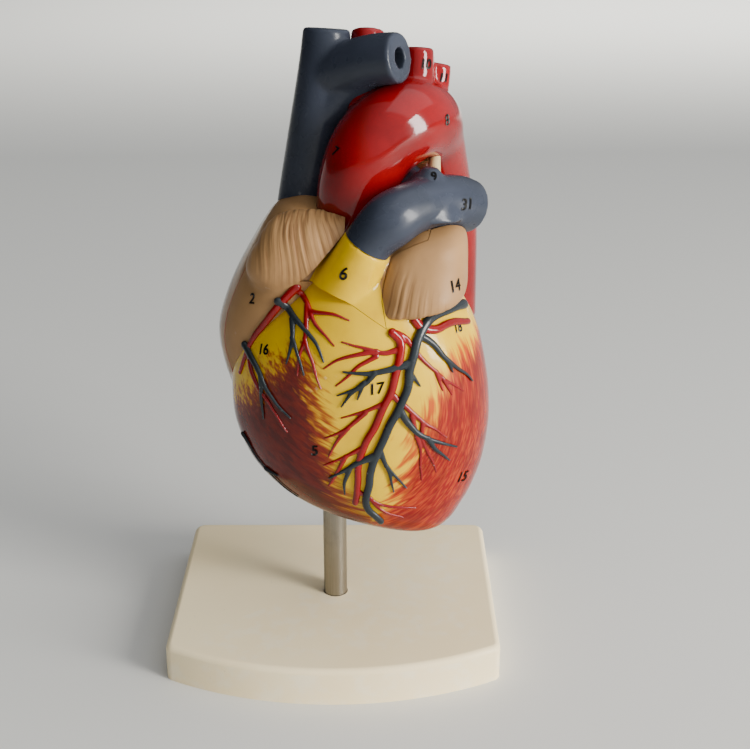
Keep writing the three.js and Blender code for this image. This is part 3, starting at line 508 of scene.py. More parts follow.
@dataclass(frozen=True)
class Chamber:
    """A hollow organ's outer form.

    Attributes:
        sections: Its level sections; the first and last are single points.
        square: How full the corners of a section are; 2 gives ovals.
    """

    sections: Rows
    square: float = 2.0

    def drawn_in(self, wall: float) -> "Chamber":
        """The room inside the form, with a wall of that thickness."""
        low, high = self.sections[0][0], self.sections[-1][0]
        shrink = 1 - 2 * wall / (high - low)
        middle = (low + high) / 2
        kept = [
            (middle + (z - middle) * shrink, left + wall, right - wall, front + wall, back - wall, waist)
            for z, left, right, front, back, waist in self.sections
            if right - left > 3 * wall and back - front > 3 * wall
        ]

        def end(section: tuple[float, ...], shift: float) -> tuple[float, ...]:
            """The point that closes the room past a section."""
            centre = (section[1] + section[2]) / 2
            return (section[0] + shift, centre, centre, section[5], section[5], section[5])

        return Chamber((end(kept[0], -END_RISE), *kept, end(kept[-1], END_RISE)))

    def ring(self, row: Array, grow: float, level: float) -> Ring:
        """One level section as a ring."""
        _, left, right, front, back, waist = row

        def full(value: float) -> float:
            """Fills out the corners of an oval."""
            return math.copysign(abs(value) ** (2 / self.square), value)

        def at(turn: float) -> Vector:
            """The section's edge at a turn."""
            sine = math.sin(turn)
            reach = (waist - front if sine < 0 else back - waist) + grow
            across = (left + right) / 2 + ((right - left) / 2 + grow) * full(math.cos(turn))
            return place(across, waist + reach * full(sine), level)

        return at

    def blank(self, grow: float = 0.0, around: int = 96, along: int = 90) -> Workpiece:
        """The form as a closed mesh, grown by a distance all round."""
        low, high = self.sections[0][0], self.sections[-1][0]
        middle = (low + high) / 2
        stretch = 1 + 2 * grow / (high - low)
        column = Spline(self.sections)
        rings = []
        for step in range(along + 1):
            row = column.at(step / along)
            level = middle + (row[0] - middle) * stretch
            if step in (0, along):
                rings.append(point_ring(place((row[1] + row[2]) / 2, row[5], level)))
            else:
                rings.append(self.ring(row, grow, level))
        return Workpiece(wrapped(rings, around))


@dataclass(frozen=True)
class Pipe:
    """A round vessel through stations of (x, y, z, radius)."""

    stations: Rows

    def blank(self, grow: float = 0.0, reach: float = 0.0, around: int = 48, along: int = 60) -> Workpiece:
        """The vessel as a closed solid, widened by grow and run past both its ends by reach."""
        path = Spline(self.stations)
        start = path.tangent(0)
        side = Vector((1, 0, 0)) if abs(start.x) < abs(start.z) else Vector((0, start.x, -start.y))
        centres: list[Vector] = []
        rings: list[Ring] = []
        for step in range(along + 1):
            x, y, z, radius = path.at(step / along)
            direction = path.tangent(step / along)
            past = {0: -reach, along: reach}.get(step, 0.0)
            centres.append(place(x, y, z) + direction * past * MM)
            side = (side - direction * side.dot(direction)).normalized()
            width = (radius + grow) * MM
            rings.append(oval_ring(centres[-1], side * width, direction.cross(side) * width))
        return Workpiece(wrapped([point_ring(centres[0]), *rings, point_ring(centres[-1])], around))

    def bore(self, wall: float) -> Workpiece:
        """The room inside the vessel, run out past its ends."""
        return self.blank(grow=-wall, reach=BORE_REACH)

    def tube(self, wall: float) -> Workpiece:
        """The vessel with its bore."""
        return self.blank().cut(self.bore(wall))


def box_between(start: Vector, end: Vector) -> Mesh:
    """A box between two corners, in metres."""
    mesh = bmesh.new()
    bmesh.ops.create_cube(mesh, size=1.0)
    bmesh.ops.scale(mesh, vec=end - start, verts=mesh.verts)
    bmesh.ops.translate(mesh, vec=(start + end) / 2, verts=mesh.verts)
    return mesh


def extruded(corners: Iterable[Sequence[float]], reach: Vector) -> Mesh:
    """A flat outline carried along a direction, in metres."""
    mesh = bmesh.new()
    face = mesh.faces.new([mesh.verts.new(corner) for corner in corners])
    grown = bmesh.ops.extrude_face_region(mesh, geom=[face])["geom"]
    moved = [part for part in grown if isinstance(part, bmesh.types.BMVert)]
    bmesh.ops.translate(mesh, vec=reach, verts=moved)
    return mesh


def round_edges(mesh: Mesh, edges: list[bmesh.types.BMEdge], width: float, segments: int) -> None:
    """Rounds edges by a width in millimetres."""
    bmesh.ops.bevel(
        mesh, geom=edges, offset=width * MM, affect="EDGES", segments=segments, profile=0.5, material=-1,
    )


def rod_between(start: Vector, end: Vector, radius: float, sides: int = 48) -> Mesh:
    """A round bar between two points, in metres."""
    along = end - start
    turn = along.to_track_quat("Z", "Y").to_matrix().to_4x4()
    mesh = bmesh.new()
    bmesh.ops.create_cone(
        mesh, cap_ends=True, segments=sides, radius1=radius, radius2=radius, depth=along.length,
        matrix=Matrix.Translation((start + end) / 2) @ turn,
    )
    return mesh


def block(low: Sequence[float], high: Sequence[float]) -> Workpiece:
    """A block between two corners, in the tables' millimetres."""
    return Workpiece(box_between(place(*low), place(*high)))


def block(low: Sequence[float], high: Sequence[float]) -> Workpiece:
    """A block between two corners, in the tables' millimetres."""
    start, end = place(*low), place(*high)
    mesh = bmesh.new()
    bmesh.ops.create_cube(mesh, size=1.0)
    bmesh.ops.scale(mesh, vec=end - start, verts=mesh.verts)
    bmesh.ops.translate(mesh, vec=(start + end) / 2, verts=mesh.verts)
    return Workpiece(mesh)


def bar(start: Sequence[float], end: Sequence[float], radius: float) -> Workpiece:
    """A round bar between two points of the tables."""
    return Workpiece(rod_between(place(*start), place(*end), radius * MM))


def prism(outline: Outline, reach: float = 300.0) -> Workpiece:
    """An outline in X and Z carried along Y through the whole heart."""
    mesh = extruded([place(x, -reach, z) for x, z in outline], Vector((0, 2 * reach * MM, 0)))
    bmesh.ops.triangulate(mesh, faces=mesh.faces)
    bmesh.ops.recalc_face_normals(mesh, faces=mesh.faces)
    return Workpiece(mesh)


def notch_prism(distance: float) -> Workpiece:
    """The room of the cone and the great vessels, seen from the front, grown by a distance."""
    points = [Vector(corner) for corner in NOTCH]
    area = sum(a.x * b.y - b.x * a.y for a, b in zip(points, points[1:] + points[:1]))
    turn = 1 if area > 0 else -1
    moved = []
    for index, corner in enumerate(points):
        first = (corner - points[index - 1]).normalized()
        second = (points[(index + 1) % len(points)] - corner).normalized()
        out = Vector((first.y + second.y, -first.x - second.x)) * turn
        moved.append(corner + out.normalized() * 2 * distance / max(out.length, 1))
    return prism(moved)


def front_block(gap: float = SEEN_GAP / 2) -> Workpiece:
    """All that lies in front of the seam."""
    return block((-90, -90, -30), (90, SEAM_PLANE - gap, 200))


def path_station(stations: Rows, share: float) -> tuple[Vector, Vector, float]:
    """The place, direction and radius of a vessel at a share of its length."""
    path = Spline(stations)
    x, y, z, radius = path.at(share)
    return place(x, y, z), path.tangent(share), radius


class Forms:
    """The outer forms and the hollow rooms of the heart, which its castings are made from."""

    ventricles = Chamber(VENTRICLES)
    left_muscle = Chamber(LEFT_MUSCLE)
    right_atrium = Chamber(RIGHT_ATRIUM)
    left_atrium = Chamber(LEFT_ATRIUM)
    left_ear = Chamber(LEFT_EAR, EAR_SQUARE)
    right_ear = Chamber(RIGHT_EAR, EAR_SQUARE)

    def cone_side(self, shift: float) -> Workpiece:
        """All that lies before the place where the grey trunk takes over from the cone."""
        centre, along, _ = path_station(TRUNK, TRUNK_SEAT)
        widest = TRUNK[0][3] * MM
        near = centre + along * shift * MM
        return Workpiece(rod_between(near - along * 4 * widest, near, 2 * widest))

    def cone(self) -> Workpiece:
        """The yellow cone that the pulmonary trunk rises from."""
        return Pipe(TRUNK).blank().within(self.cone_side(-TOUCH))

    def trunk(self, grow: float = 0.0) -> Workpiece:
        """The grey pulmonary trunk and its right branch."""
        main = Pipe(TRUNK).blank(grow).cut(self.cone_side(-grow))
        return main.fused(Pipe(RIGHT_TRUNK_BRANCH).blank(grow))

    def trunk_bore(self) -> Workpiece:
        """The room inside the cone and the trunk."""
        rest = tuple((x, y, z, radius - VESSEL_WALL) for x, y, z, radius in TRUNK[2:])
        return Pipe(CONE_BORE + rest).blank(reach=BORE_REACH)

    def aorta(self, grow: float = 0.0) -> Workpiece:
        """The aorta with the branches of its arch."""
        return Pipe(AORTA).blank(grow, along=90).fused(*(Pipe(path).blank(grow) for path in ARCH_BRANCHES))

    def cava(self, grow: float = 0.0) -> Workpiece:
        """The upper hollow vein with the left head vein."""
        sides = Pipe(LEFT_HEAD_VEIN).blank(grow), Pipe(HEAD_WEB).blank(grow)
        return Pipe(UPPER_CAVA).blank(grow).fused(*sides)

    def socket_boss(self) -> Workpiece:
        """The solid muscle round the rod's socket."""
        radius = SOCKET_RADIUS + PIECE_GAP + SOCKET_BOSS_WALL
        top = SOCKET_TOP + PIECE_GAP + SOCKET_BOSS_WALL
        tower = bar((0, 0, -60), (0, 0, top), radius)
        return tower.fused(block((-radius, 0, -60), (radius, 90, top)))

    def socket_hole(self) -> Workpiece:
        """The hole that the rod's socket is bonded in."""
        return bar((0, 0, -60), (0, 0, SOCKET_TOP + PIECE_GAP), SOCKET_RADIUS + PIECE_GAP)

    def atria(self, grow: float = 0.0) -> list[Workpiece]:
        """Both atria as closed solids."""
        return [self.right_atrium.blank(grow), self.left_atrium.blank(grow)]

    def rooms(self) -> Workpiece:
        """All the hollow room of the heart, fused and softened."""
        right = self.ventricles.drawn_in(RIGHT_WALL).blank()
        right.cut(self.left_muscle.blank(), self.socket_boss(), *self.atria())
        left = self.left_muscle.drawn_in(LEFT_WALL).blank()
        left.cut(self.socket_boss(), *self.atria())
        parts = [
            left,
            self.right_atrium.drawn_in(ATRIAL_WALL).blank(),
            self.left_atrium.drawn_in(ATRIAL_WALL).blank(),
            *(bar(*way) for way in ROOM_WAYS),
            self.trunk_bore(),
            Pipe(UPPER_CAVA).bore(VEIN_WALL),
            Pipe(LOWER_CAVA).bore(VEIN_WALL),
            *(Pipe(path).bore(VEIN_WALL) for path in LUNG_VEINS.values()),
        ]
        return right.joined(*parts).remeshed(1.2, smooth=3)


def linear(code: str) -> tuple[float, float, float, float]:
    """A colour such as c03020 as Blender's linear numbers."""
    parts = [int(code[index : index + 2], 16) / 255 for index in (0, 2, 4)]
    bent = [part / 12.92 if part <= 0.04045 else ((part + 0.055) / 1.055) ** 2.4 for part in parts]
    return (*bent, 1.0)


class Graph:
    """A node tree with short ways to add and wire its nodes."""

    def __init__(self, tree: bpy.types.NodeTree) -> None:
        """Keeps the tree."""
        self.tree = tree

    def add(self, kind: str, inputs: dict | None = None, **settings: object) -> Node:
        """Adds a node.

        Args:
            kind: Blender's name of the node, without ShaderNode.
            inputs: Values or sockets by the name or number of the input.
            **settings: The node's own settings.

        Returns:
            The new node.
        """
        node = self.tree.nodes.new("ShaderNode" + kind)
        for name, value in settings.items():
            setattr(node, name, value)
        for name, value in (inputs or {}).items():
            self.feed(node.inputs[name], value)
        return node

    def feed(self, socket: Socket, value: object) -> None:
        """Links a socket to an input, or gives the input a value or a colour's code."""
        if isinstance(value, Socket):
            self.tree.links.new(value, socket)
        else:
            socket.default_value = linear(value) if isinstance(value, str) else value

    def math(self, kind: str, *values: object) -> Socket:
        """A sum of one to three values."""
        return self.add("Math", dict(enumerate(values)), operation=kind).outputs[0]

    def times(self, first: object, second: object) -> Socket:
        """The product of two values."""
        return self.math("MULTIPLY", first, second)

    def scaled(self, vector: object, scale: object) -> Socket:
        """A vector times a row of three numbers."""
        return self.add("VectorMath", {0: vector, 1: scale}, operation="MULTIPLY").outputs[0]

    def noise(self, vector: object, scale: object, detail: float = 3.0, rough: float = 0.55) -> Socket:
        """Cloudy noise from 0 to 1."""
        inputs = {"Vector": vector, "Scale": scale, "Detail": detail, "Roughness": rough}
        return self.add("TexNoise", inputs).outputs["Fac"]

    def spread(self, value: object, low: float, high: float, to_low: float = 0, to_high: float = 1) -> Socket:
        """Spreads a value smoothly from one range to another."""
        inputs = {"Value": value, "From Min": low, "From Max": high, "To Min": to_low, "To Max": to_high}
        return self.add("MapRange", inputs, interpolation_type="SMOOTHSTEP").outputs["Result"]

    def mix(self, share: object, first: object, second: object) -> Socket:
        """Mixes two colours."""
        return self.add("Mix", {0: share, 6: first, 7: second}, data_type="RGBA", blend_type="MIX").outputs[2]

    def attribute(self, name: str, output: str = "Fac") -> Socket:
        """A number or row that the mesh holds."""
        return self.add("Attribute", attribute_name=name).outputs[output]

    def object_place(self) -> Socket:
        """The place on the piece, in metres."""
        return self.add("TexCoord").outputs["Object"]

    def relief(self, shader: Node, height: Socket, depth: float, strength: float = 1.0) -> None:
        """Gives a shader waves of that depth in millimetres."""
        bump = self.add("Bump", {"Strength": strength, "Distance": depth * MM, "Height": height})
        self.feed(shader.inputs["Normal"], bump.outputs[0])


@dataclass(frozen=True)
class Effect:
    """A node group that several finishes share.

    Attributes:
        name: The group's name.
        inputs: The kind and the usual value of each input.
        outputs: The names of its outputs; Color is a colour, and the others are numbers.
        wire: Adds the group's nodes between its inputs and its outputs.
    """

    name: str
    inputs: dict[str, tuple[str, object]]
    outputs: tuple[str, ...]
    wire: Callable[[Graph, Sockets, Sockets], None]

    def group(self) -> bpy.types.NodeTree:
        """The group, built when it is first asked for."""
        if self.name in bpy.data.node_groups:
            return bpy.data.node_groups[self.name]
        tree = bpy.data.node_groups.new(self.name, "ShaderNodeTree")
        for label, (kind, value) in self.inputs.items():
            socket = tree.interface.new_socket(label, in_out="INPUT", socket_type="NodeSocket" + kind)
            if value is not None:
                socket.default_value = value
        for label in self.outputs:
            kind = "NodeSocketColor" if label == "Color" else "NodeSocketFloat"
            tree.interface.new_socket(label, in_out="OUTPUT", socket_type=kind)
        start, end = tree.nodes.new("NodeGroupInput"), tree.nodes.new("NodeGroupOutput")
        self.wire(Graph(tree), start.outputs, end.inputs)
        return tree

    def use(self, graph: Graph, **inputs: object) -> Node:
        """Places the group in a material."""
        node = graph.tree.nodes.new("ShaderNodeGroup")
        node.node_tree = self.group()
        for label, value in inputs.items():
            graph.feed(node.inputs[label], value)
        return node


def wire_strokes(graph: Graph, start: Sockets, end: Sockets) -> None:
    """Streaks that follow the brush: fine hairs and broader strokes along the first axis of a vector."""
    across = graph.math("DIVIDE", 1.0, start["Width"])
    along = graph.math("DIVIDE", 1.0, start["Length"])
    scale = graph.add("CombineXYZ", {0: along, 1: across, 2: across}).outputs[0]
    pulled = graph.scaled(start["Vector"], scale)
    graph.feed(end["Broad"], graph.noise(pulled, 0.55, 1.0))
    graph.feed(end["Fine"], graph.noise(pulled, 1.7, 1.0))


def wire_enamel(graph: Graph, start: Sockets, end: Sockets) -> None:
    """Brushed lacquer: where it is duller, and its slight waves."""
    dull = graph.times(graph.spread(graph.noise(start["Vector"], 90.0), 0.35, 0.75), start["Spread"])
    graph.feed(end["Roughness"], graph.math("ADD", start["Gloss"], dull))
    waves = graph.noise(start["Vector"], 260.0, 1.0)
    specks = graph.noise(start["Vector"], 1500.0, 2.0)
    graph.feed(end["Height"], graph.math("MULTIPLY_ADD", specks, 0.25, waves))


def wire_groove_shade_and_rubbing(graph: Graph, start: Sockets, end: Sockets) -> None:
    """Darkens grooves with painted shade and patchy grime, and lightens rubbed edges."""
    shape = graph.add("NewGeometry").outputs["Pointiness"]
    patch = graph.noise(start["Vector"], 140.0)
    # Painted shade and patchy grime where the surface curves in.
    low = graph.times(graph.spread(shape, 0.5, 0.42), start["Depth"])
    dark = graph.mix(graph.times(low, patch), start["Color"], start["Groove Shade and Grime"])
    high = graph.times(graph.spread(shape, 0.53, 0.62), start["Rub"])
    rubbed = graph.times(high, graph.spread(patch, 0.45, 0.65))
    graph.feed(end["Color"], graph.mix(rubbed, dark, (0.9, 0.87, 0.8, 1)))


BRUSH_STROKES = Effect(
    "brush_strokes", {"Vector": ("Vector", None), "Width": ("Float", 1.0), "Length": ("Float", 10.0)},
    ("Broad", "Fine"), wire_strokes,
)
ENAMEL = Effect(
    "brushed_enamel", {"Vector": ("Vector", None), "Gloss": ("Float", 0.2), "Spread": ("Float", 0.1)},
    ("Roughness", "Height"), wire_enamel,
)
# Painted shade and grime in grooves, and rubbed edges.
GROOVE_SHADE_AND_RUBBING = Effect(
    "groove_shade_and_rubbed_edges",
    {"Color": ("Color", None), "Vector": ("Vector", None), "Groove Shade and Grime": ("Color", None),
     "Depth": ("Float", 0.5), "Rub": ("Float", 0.2)},
    ("Color",), wire_groove_shade_and_rubbing,
)

@dataclass(frozen=True)
class Finish:
    """A painted, moulded or metal finish.

    Attributes:
        name: The material's name.
        slot: The record's slot, if it has one.
        colour: Its main colour.
        shade: The colour of its darker passes.
        gloss: How rough its smoothest places are.
        spread: How much rougher the dull places are.
        coat: The weight of the clear lacquer on it.
        bump: The height of its waves, in millimetres.
        metal: 1 for bare metal.
        shine: How strongly it mirrors; 0.5 is usual.
        lacquer: How rough the clear lacquer is.
        groove_shade_and_grime: The colour of the painted shade and grime in grooves; the shade if there is
            none.
        shade_and_grime_depth: How much painted shade and grime lies there.
        rub: How much the edges are rubbed.
    """

    name: str
    slot: Slot | None
    colour: str
    shade: str
    gloss: float
    spread: float
    coat: float
    bump: float
    metal: float = 0.0
    shine: float = 0.2
    lacquer: float = 0.06
    # Painted shade and grime in grooves: its colour and how much.
    groove_shade_and_grime: str = ""
    shade_and_grime_depth: float = 0.7
    rub: float = 0.15

    def material(self) -> bpy.types.Material:
        """The finish's material, made when it is first asked for."""
        if self.name in bpy.data.materials:
            return bpy.data.materials[self.name]
        made = bpy.data.materials.new(self.name)
        made.use_nodes = True
        made.node_tree.nodes.clear()
        graph = Graph(made.node_tree)
        shader = graph.add("BsdfPrincipled", {
            "Metallic": self.metal, "Coat Weight": self.coat, "Coat Roughness": self.lacquer,
            "Specular IOR Level": self.shine,
        })
        graph.add("OutputMaterial", {"Surface": shader.outputs[0]})
        self.dress(graph, shader)
        return made

    def lay(self, graph: Graph, shader: Node, colour: Socket, extra: Socket | None = None) -> None:
        """Gives the shader a colour with painted shade and grime in its grooves and rubbed edges, and its
        lacquer's roughness and waves.

        Args:
            graph: The material's graph.
            shader: Its shader.
            colour: The clean colour.
            extra: A further height, in the same units as the waves.
        """
        where = graph.object_place()
        # Painted shade and grime in grooves, and rubbed edges.
        shade_and_rubbing = {"Color": colour, "Vector": where, "Groove Shade and Grime": self.groove_shade_and_grime or self.shade, "Depth": self.shade_and_grime_depth}
        shaded_and_rubbed = GROOVE_SHADE_AND_RUBBING.use(graph, Rub=self.rub, **shade_and_rubbing).outputs["Color"]
        graph.feed(shader.inputs["Base Color"], shaded_and_rubbed)
        enamel = ENAMEL.use(graph, Vector=where, Gloss=self.gloss, Spread=self.spread)
        graph.feed(shader.inputs["Roughness"], enamel.outputs["Roughness"])
        height = enamel.outputs["Height"]
        graph.relief(shader, height if extra is None else graph.math("ADD", height, extra), self.bump)

    def inside(self, graph: Graph, colour: Socket, lining: object, cut_face: object) -> Socket:
        """A casting's colour with the colours of its rooms and of its cut face."""
        colour = graph.mix(graph.spread(graph.attribute("inner"), 0.0, 0.3), colour, lining)
        return graph.mix(graph.attribute("seam"), colour, cut_face)

    def dress(self, graph: Graph, shader: Node) -> None:
        """One colour, brushed on unevenly over its darker shade."""
        cloud = graph.spread(graph.noise(graph.object_place(), 55.0, 4.0), 0.3, 0.75)
        self.lay(graph, shader, graph.mix(cloud, self.colour, self.shade))


@dataclass(frozen=True)
class HeartPaint(Finish):
    """The hand-painted wall: yellow fat, red muscle in strokes, tan atria, pink lining and cut faces."""

    right_muscle: str = "5e120a"
    right_stroke: str = "96330f"
    right_deep: str = "33090a"
    left_muscle: str = "7c0d06"
    left_stroke: str = "b5400e"
    left_deep: str = "5a0806"
    tan: str = "9b764d"
    tan_shade: str = "876441"
    lining: str = "a8483c"
    lining_shade: str = "94352c"
    cut_face: str = "9c3426"
    cut_shade: str = "8a2a20"
    # Colour and amount of the painted shade and grime in grooves.
    groove_shade_and_grime: str = "4a1c10"
    shade_and_grime_depth: float = 0.5
    rub: float = 0.1
    feather: float = 7.0

    def strokes(self, graph: Graph, width: float, length: float) -> Socket:
        """Brush strokes of that width and length, in millimetres, along the muscle's fibres."""
        grain = graph.attribute("grain", "Vector")
        return BRUSH_STROKES.use(graph, Vector=grain, Width=width, Length=length).outputs["Fine"]

    def muscle(self, graph: Graph, fat: Socket) -> Socket:
        """The muscle's reds, feathered over the fat in long strokes."""
        broad, hairs = self.strokes(graph, 4.0, 30.0), self.strokes(graph, 1.5, 20.0)
        zone, edge = graph.attribute("left"), graph.attribute("muscle")
        sway = graph.times(graph.math("SUBTRACT", broad, 0.5), self.feather * 2.4)
        fine = graph.times(graph.math("SUBTRACT", hairs, 0.5), self.feather * 1.6)
        ragged = graph.math("ADD", graph.math("ADD", sway, fine), edge)
        base = graph.mix(zone, self.right_muscle, self.left_muscle)
        light = graph.mix(zone, self.right_stroke, self.left_stroke)
        fringe = graph.mix(graph.times(graph.spread(ragged, -5.0, 1.5), 0.85), fat, light)
        near = graph.spread(edge, 11.0, 0.0)
        strength = graph.math("MULTIPLY_ADD", near, 0.45, graph.math("MULTIPLY_ADD", zone, 0.4, 0.12))
        colour = graph.mix(graph.times(graph.spread(hairs, 0.4, 0.7), strength), base, light)
        dark = graph.times(graph.spread(broad, 0.56, 0.36), 0.5)
        deep = graph.mix(zone, self.right_deep, self.left_deep)
        return graph.mix(graph.spread(ragged, -1.5, 4.5), fringe, graph.mix(dark, colour, deep))

    def dress(self, graph: Graph, shader: Node) -> None:
        """Lays the paints over each other by the regions that the mesh holds."""
        patches = graph.spread(graph.noise(graph.object_place(), 60.0), 0.42, 0.8)
        colour = self.muscle(graph, graph.mix(patches, self.colour, self.shade))
        tan = graph.mix(patches, self.tan, self.tan_shade)
        colour = graph.mix(graph.spread(graph.attribute("atrial"), -0.15, 0.15), colour, tan)
        lining = graph.mix(patches, self.lining, self.lining_shade)
        face = graph.mix(patches, self.cut_face, self.cut_shade)
        self.lay(graph, shader, self.inside(graph, colour, lining, face))


@dataclass(frozen=True)
class RibbedPaint(Finish):
    """Satin paint over the fine ribs of an auricle."""

    # Colour of the painted shade in the furrows between the ribs.
    furrow_shade: str = "5f3a1f"
    lining: str = "a5564a"
    cut_face: str = "94402f"
    # Colour and amount of the painted shade and grime in grooves.
    groove_shade_and_grime: str = "6d4427"
    shade_and_grime_depth: float = 0.6
    rub: float = 0.1
    rib_height: float = 5.0

    def dress(self, graph: Graph, shader: Node) -> None:
        """Paints shade into the furrows between the ribs, and raises the ribs."""
        grain, amount = graph.attribute("grain", "Vector"), graph.attribute("ribbed")
        ribs = BRUSH_STROKES.use(graph, Vector=grain, Width=1.9, Length=60.0).outputs["Fine"]
        # Painted shade where the ribs dip.
        furrow_shade = graph.times(graph.spread(ribs, 0.5, 0.34), amount)
        cloud = graph.spread(graph.noise(graph.object_place(), 70.0), 0.35, 0.75)
        colour = graph.mix(graph.times(cloud, 0.5), self.colour, self.shade)
        colour = graph.mix(graph.times(furrow_shade, 0.5), colour, self.furrow_shade)
        colour = self.inside(graph, colour, self.lining, self.cut_face)
        self.lay(graph, shader, colour, graph.times(graph.times(ribs, amount), self.rib_height))


@dataclass(frozen=True)
class BrushedMetal(Finish):
    """Drawn or turned metal with fine lines, long where their scale on an axis is small."""

    stain: str = "6f6a61"
    lines: Spot = (1.0, 1.0, 1.0)

    def dress(self, graph: Graph, shader: Node) -> None:
        """Draws the metal's fine lines in its colour, roughness and height."""
        where = graph.object_place()
        drawn = graph.noise(graph.scaled(where, self.lines), 2400.0, 3.0, 0.7)
        stain = graph.spread(graph.noise(where, 120.0), 0.5, 0.8)
        colour = graph.mix(drawn, self.colour, self.shade)
        graph.feed(shader.inputs["Base Color"], graph.mix(graph.times(stain, 0.35), colour, self.stain))
        rough = graph.math("MULTIPLY_ADD", drawn, self.spread, self.gloss)
        graph.feed(shader.inputs["Roughness"], graph.math("MULTIPLY_ADD", stain, 0.1, rough))
        graph.relief(shader, drawn, self.bump, 0.6)


@dataclass(frozen=True)
class MouldedPlastic(Finish):
    """Moulded plastic with a fine grain, faint dirt and scuffs."""

    dirt: str = "8e8475"
    # Colour and amount of the painted shade and grime in grooves.
    groove_shade_and_grime: str = "8b7f6c"
    shade_and_grime_depth: float = 0.5
    rub: float = 0.2

    def dress(self, graph: Graph, shader: Node) -> None:
        """Adds faint yellowing, specks and scuffs."""
        where = graph.object_place()
        aged = graph.spread(graph.noise(where, 14.0), 0.35, 0.75)
        colour = graph.mix(graph.times(aged, 0.5), self.colour, self.shade)
        scuffs = graph.noise(graph.scaled(where, (1.0, 0.25, 1.0)), 420.0, 4.0, 0.65)
        colour = graph.mix(graph.times(graph.spread(scuffs, 0.66, 0.8), 0.35), colour, self.dirt)
        self.lay(graph, shader, colour, graph.times(graph.noise(where, 3800.0, 2.0), 0.6))


HEART_PAINT = HeartPaint("heart_enamel", Slot.MUSCLE, "dab000", "c89c00", 0.14, 0.1, 0.22, 0.04)
ARTERY_PAINT = Finish("artery_enamel", Slot.ARTERY, "840409", "6c0306", 0.12, 0.06, 0.45, 0.03)
VEIN_PAINT = Finish("vein_enamel", Slot.VEIN, "343945", "2b303a", 0.25, 0.12, 0.1, 0.04)
SURFACE_VEIN_PAINT = Finish("surface_vein_enamel", Slot.VEIN, "252b2f", "1c2124", 0.2, 0.1, 0.15, 0.04)
AURICLE_PAINT = RibbedPaint("auricle_satin", Slot.AURICLE, "9f794f", "8a6742", 0.42, 0.15, 0.0, 0.05)
LINING_PAINT = Finish("lining_satin", Slot.LINING, "a8483c", "8f382e", 0.38, 0.15, 0.0, 0.06)
VALVE_PAINT = Finish("valve_satin", Slot.VALVE, "d9c598", "b89c68", 0.36, 0.15, 0.0, 0.04)
BASE_PLASTIC = MouldedPlastic("base_plastic", Slot.BASE, "f7e5ba", "eed6a2", 0.36, 0.12, 0.0, 0.02)
SOCKET_PLASTIC = MouldedPlastic("socket_plastic", Slot.SOCKET, "cdbf9f", "b8a67e", 0.4, 0.1, 0.0, 0.03)
ROD_STEEL = BrushedMetal(
    "drawn_steel", Slot.ROD, "a19b90", "7c776d", 0.24, 0.2, 0.0, 0.01, 1.0, lines=(1.0, 1.0, 0.02),
)
SCREW_ZINC = BrushedMetal("zinc_plate", Slot.SCREW, "a4a6a8", "84878a", 0.32, 0.2, 0.0, 0.01, 1.0)
MAGNET_NICKEL = BrushedMetal("nickel_plate", Slot.MAGNET, "b8b6b0", "999790", 0.12, 0.12, 0.0, 0.005, 1.0)
NUMBER_INK = Finish("printed_ink", None, "050404", "080706", 0.55, 0.1, 0.0, 0.005, shine=0.08)


# Paint outlines on the front of the heart and grooves on its back, in X and Z
RIGHT_MUSCLE_ZONE: Rows = (
    (-10, 69), (-16, 67), (-21, 61), (-27, 53), (-32, 49), (-36, 44), (-60, 40), (-60, -30), (26, -30),
    (27, -2), (20, 0), (14, 4), (9, 8), (4, 14), (0.5, 22), (-2, 30), (-3, 38), (-4, 46), (-6, 54), (-8, 62),
)
LEFT_MUSCLE_ZONE: Rows = (
    (60, 71), (52, 70), (45, 66), (40, 58), (37, 50), (34, 43), (31, 36), (28, 29), (26, 22), (24, 14),
    (20, 8), (14, 3), (14, -30), (80, -30), (80, 71),
)
BACK_GROOVES: tuple[tuple[Rows, float], ...] = (
    (((52, 82), (43, 74), (30, 67), (14, 64.5), (0, 63), (-10, 61), (-22, 52), (-34, 44)), 7.0),
    (((-6, 56), (-3, 44), (1, 30), (6, 17), (11, 8), (18, 0)), 4.0),
)
BACK_MUSCLE_TOP = 74
BACK_FROM, BACK_WHOLE = -13, -3
RIGHT_MUSCLE_REACH = 1.5
SIDE_FEATHER = 4
BACK_SIDES = (4, 18)
LEFT_FIBRE_RADIUS, RIGHT_FIBRE_RADIUS = 45, 75
MARK_LIMIT = 3.0
RIGHT_FIBRE_CENTRE = (40.0, 120.0)
LEFT_FIBRE_CENTRE = (5.0, 50.0)


def smooth_step(values: Array, low: float, high: float) -> Array:
    """Runs smoothly from 0 at low to 1 at high."""
    share = np.clip((values - low) / (high - low), 0, 1)
    return share * share * (3 - 2 * share)


def table_places(points: Array) -> Array:
    """Points of the frame in the tables' millimetres."""
    return (points - np.array((0, 0, UNDERSIDE))) / MM


def line_distance(flat: Array, route: Outline, closed: bool = False) -> Array:
    """The distance of each point to a line of straight runs, in two dimensions."""
    corners = np.array(route, float)
    ends = np.roll(corners, -1, axis=0)
    if not closed:
        corners, ends = corners[:-1], ends[:-1]
    best = np.full(len(flat), np.inf)
    for start, end in zip(corners, ends):
        run = end - start
        share = np.clip((flat - start) @ run / (run @ run), 0, 1)
        best = np.minimum(best, np.linalg.norm(flat - start - share[:, None] * run, axis=1))
    return best


def outline_depth(flat: Array, outline: Outline) -> Array:
    """How deep each point lies inside an outline; outside it is negative."""
    corners = np.array(outline, float)
    inside = np.zeros(len(flat), bool)
    for (x1, z1), (x2, z2) in zip(corners, np.roll(corners, -1, axis=0)):
        crosses = (z1 > flat[:, 1]) != (z2 > flat[:, 1])
        reach = x1 + (flat[:, 1] - z1) / (z2 - z1 + 1e-9) * (x2 - x1)
        inside ^= crosses & (flat[:, 0] < reach)
    return np.where(inside, 1, -1) * line_distance(flat, outline, closed=True)


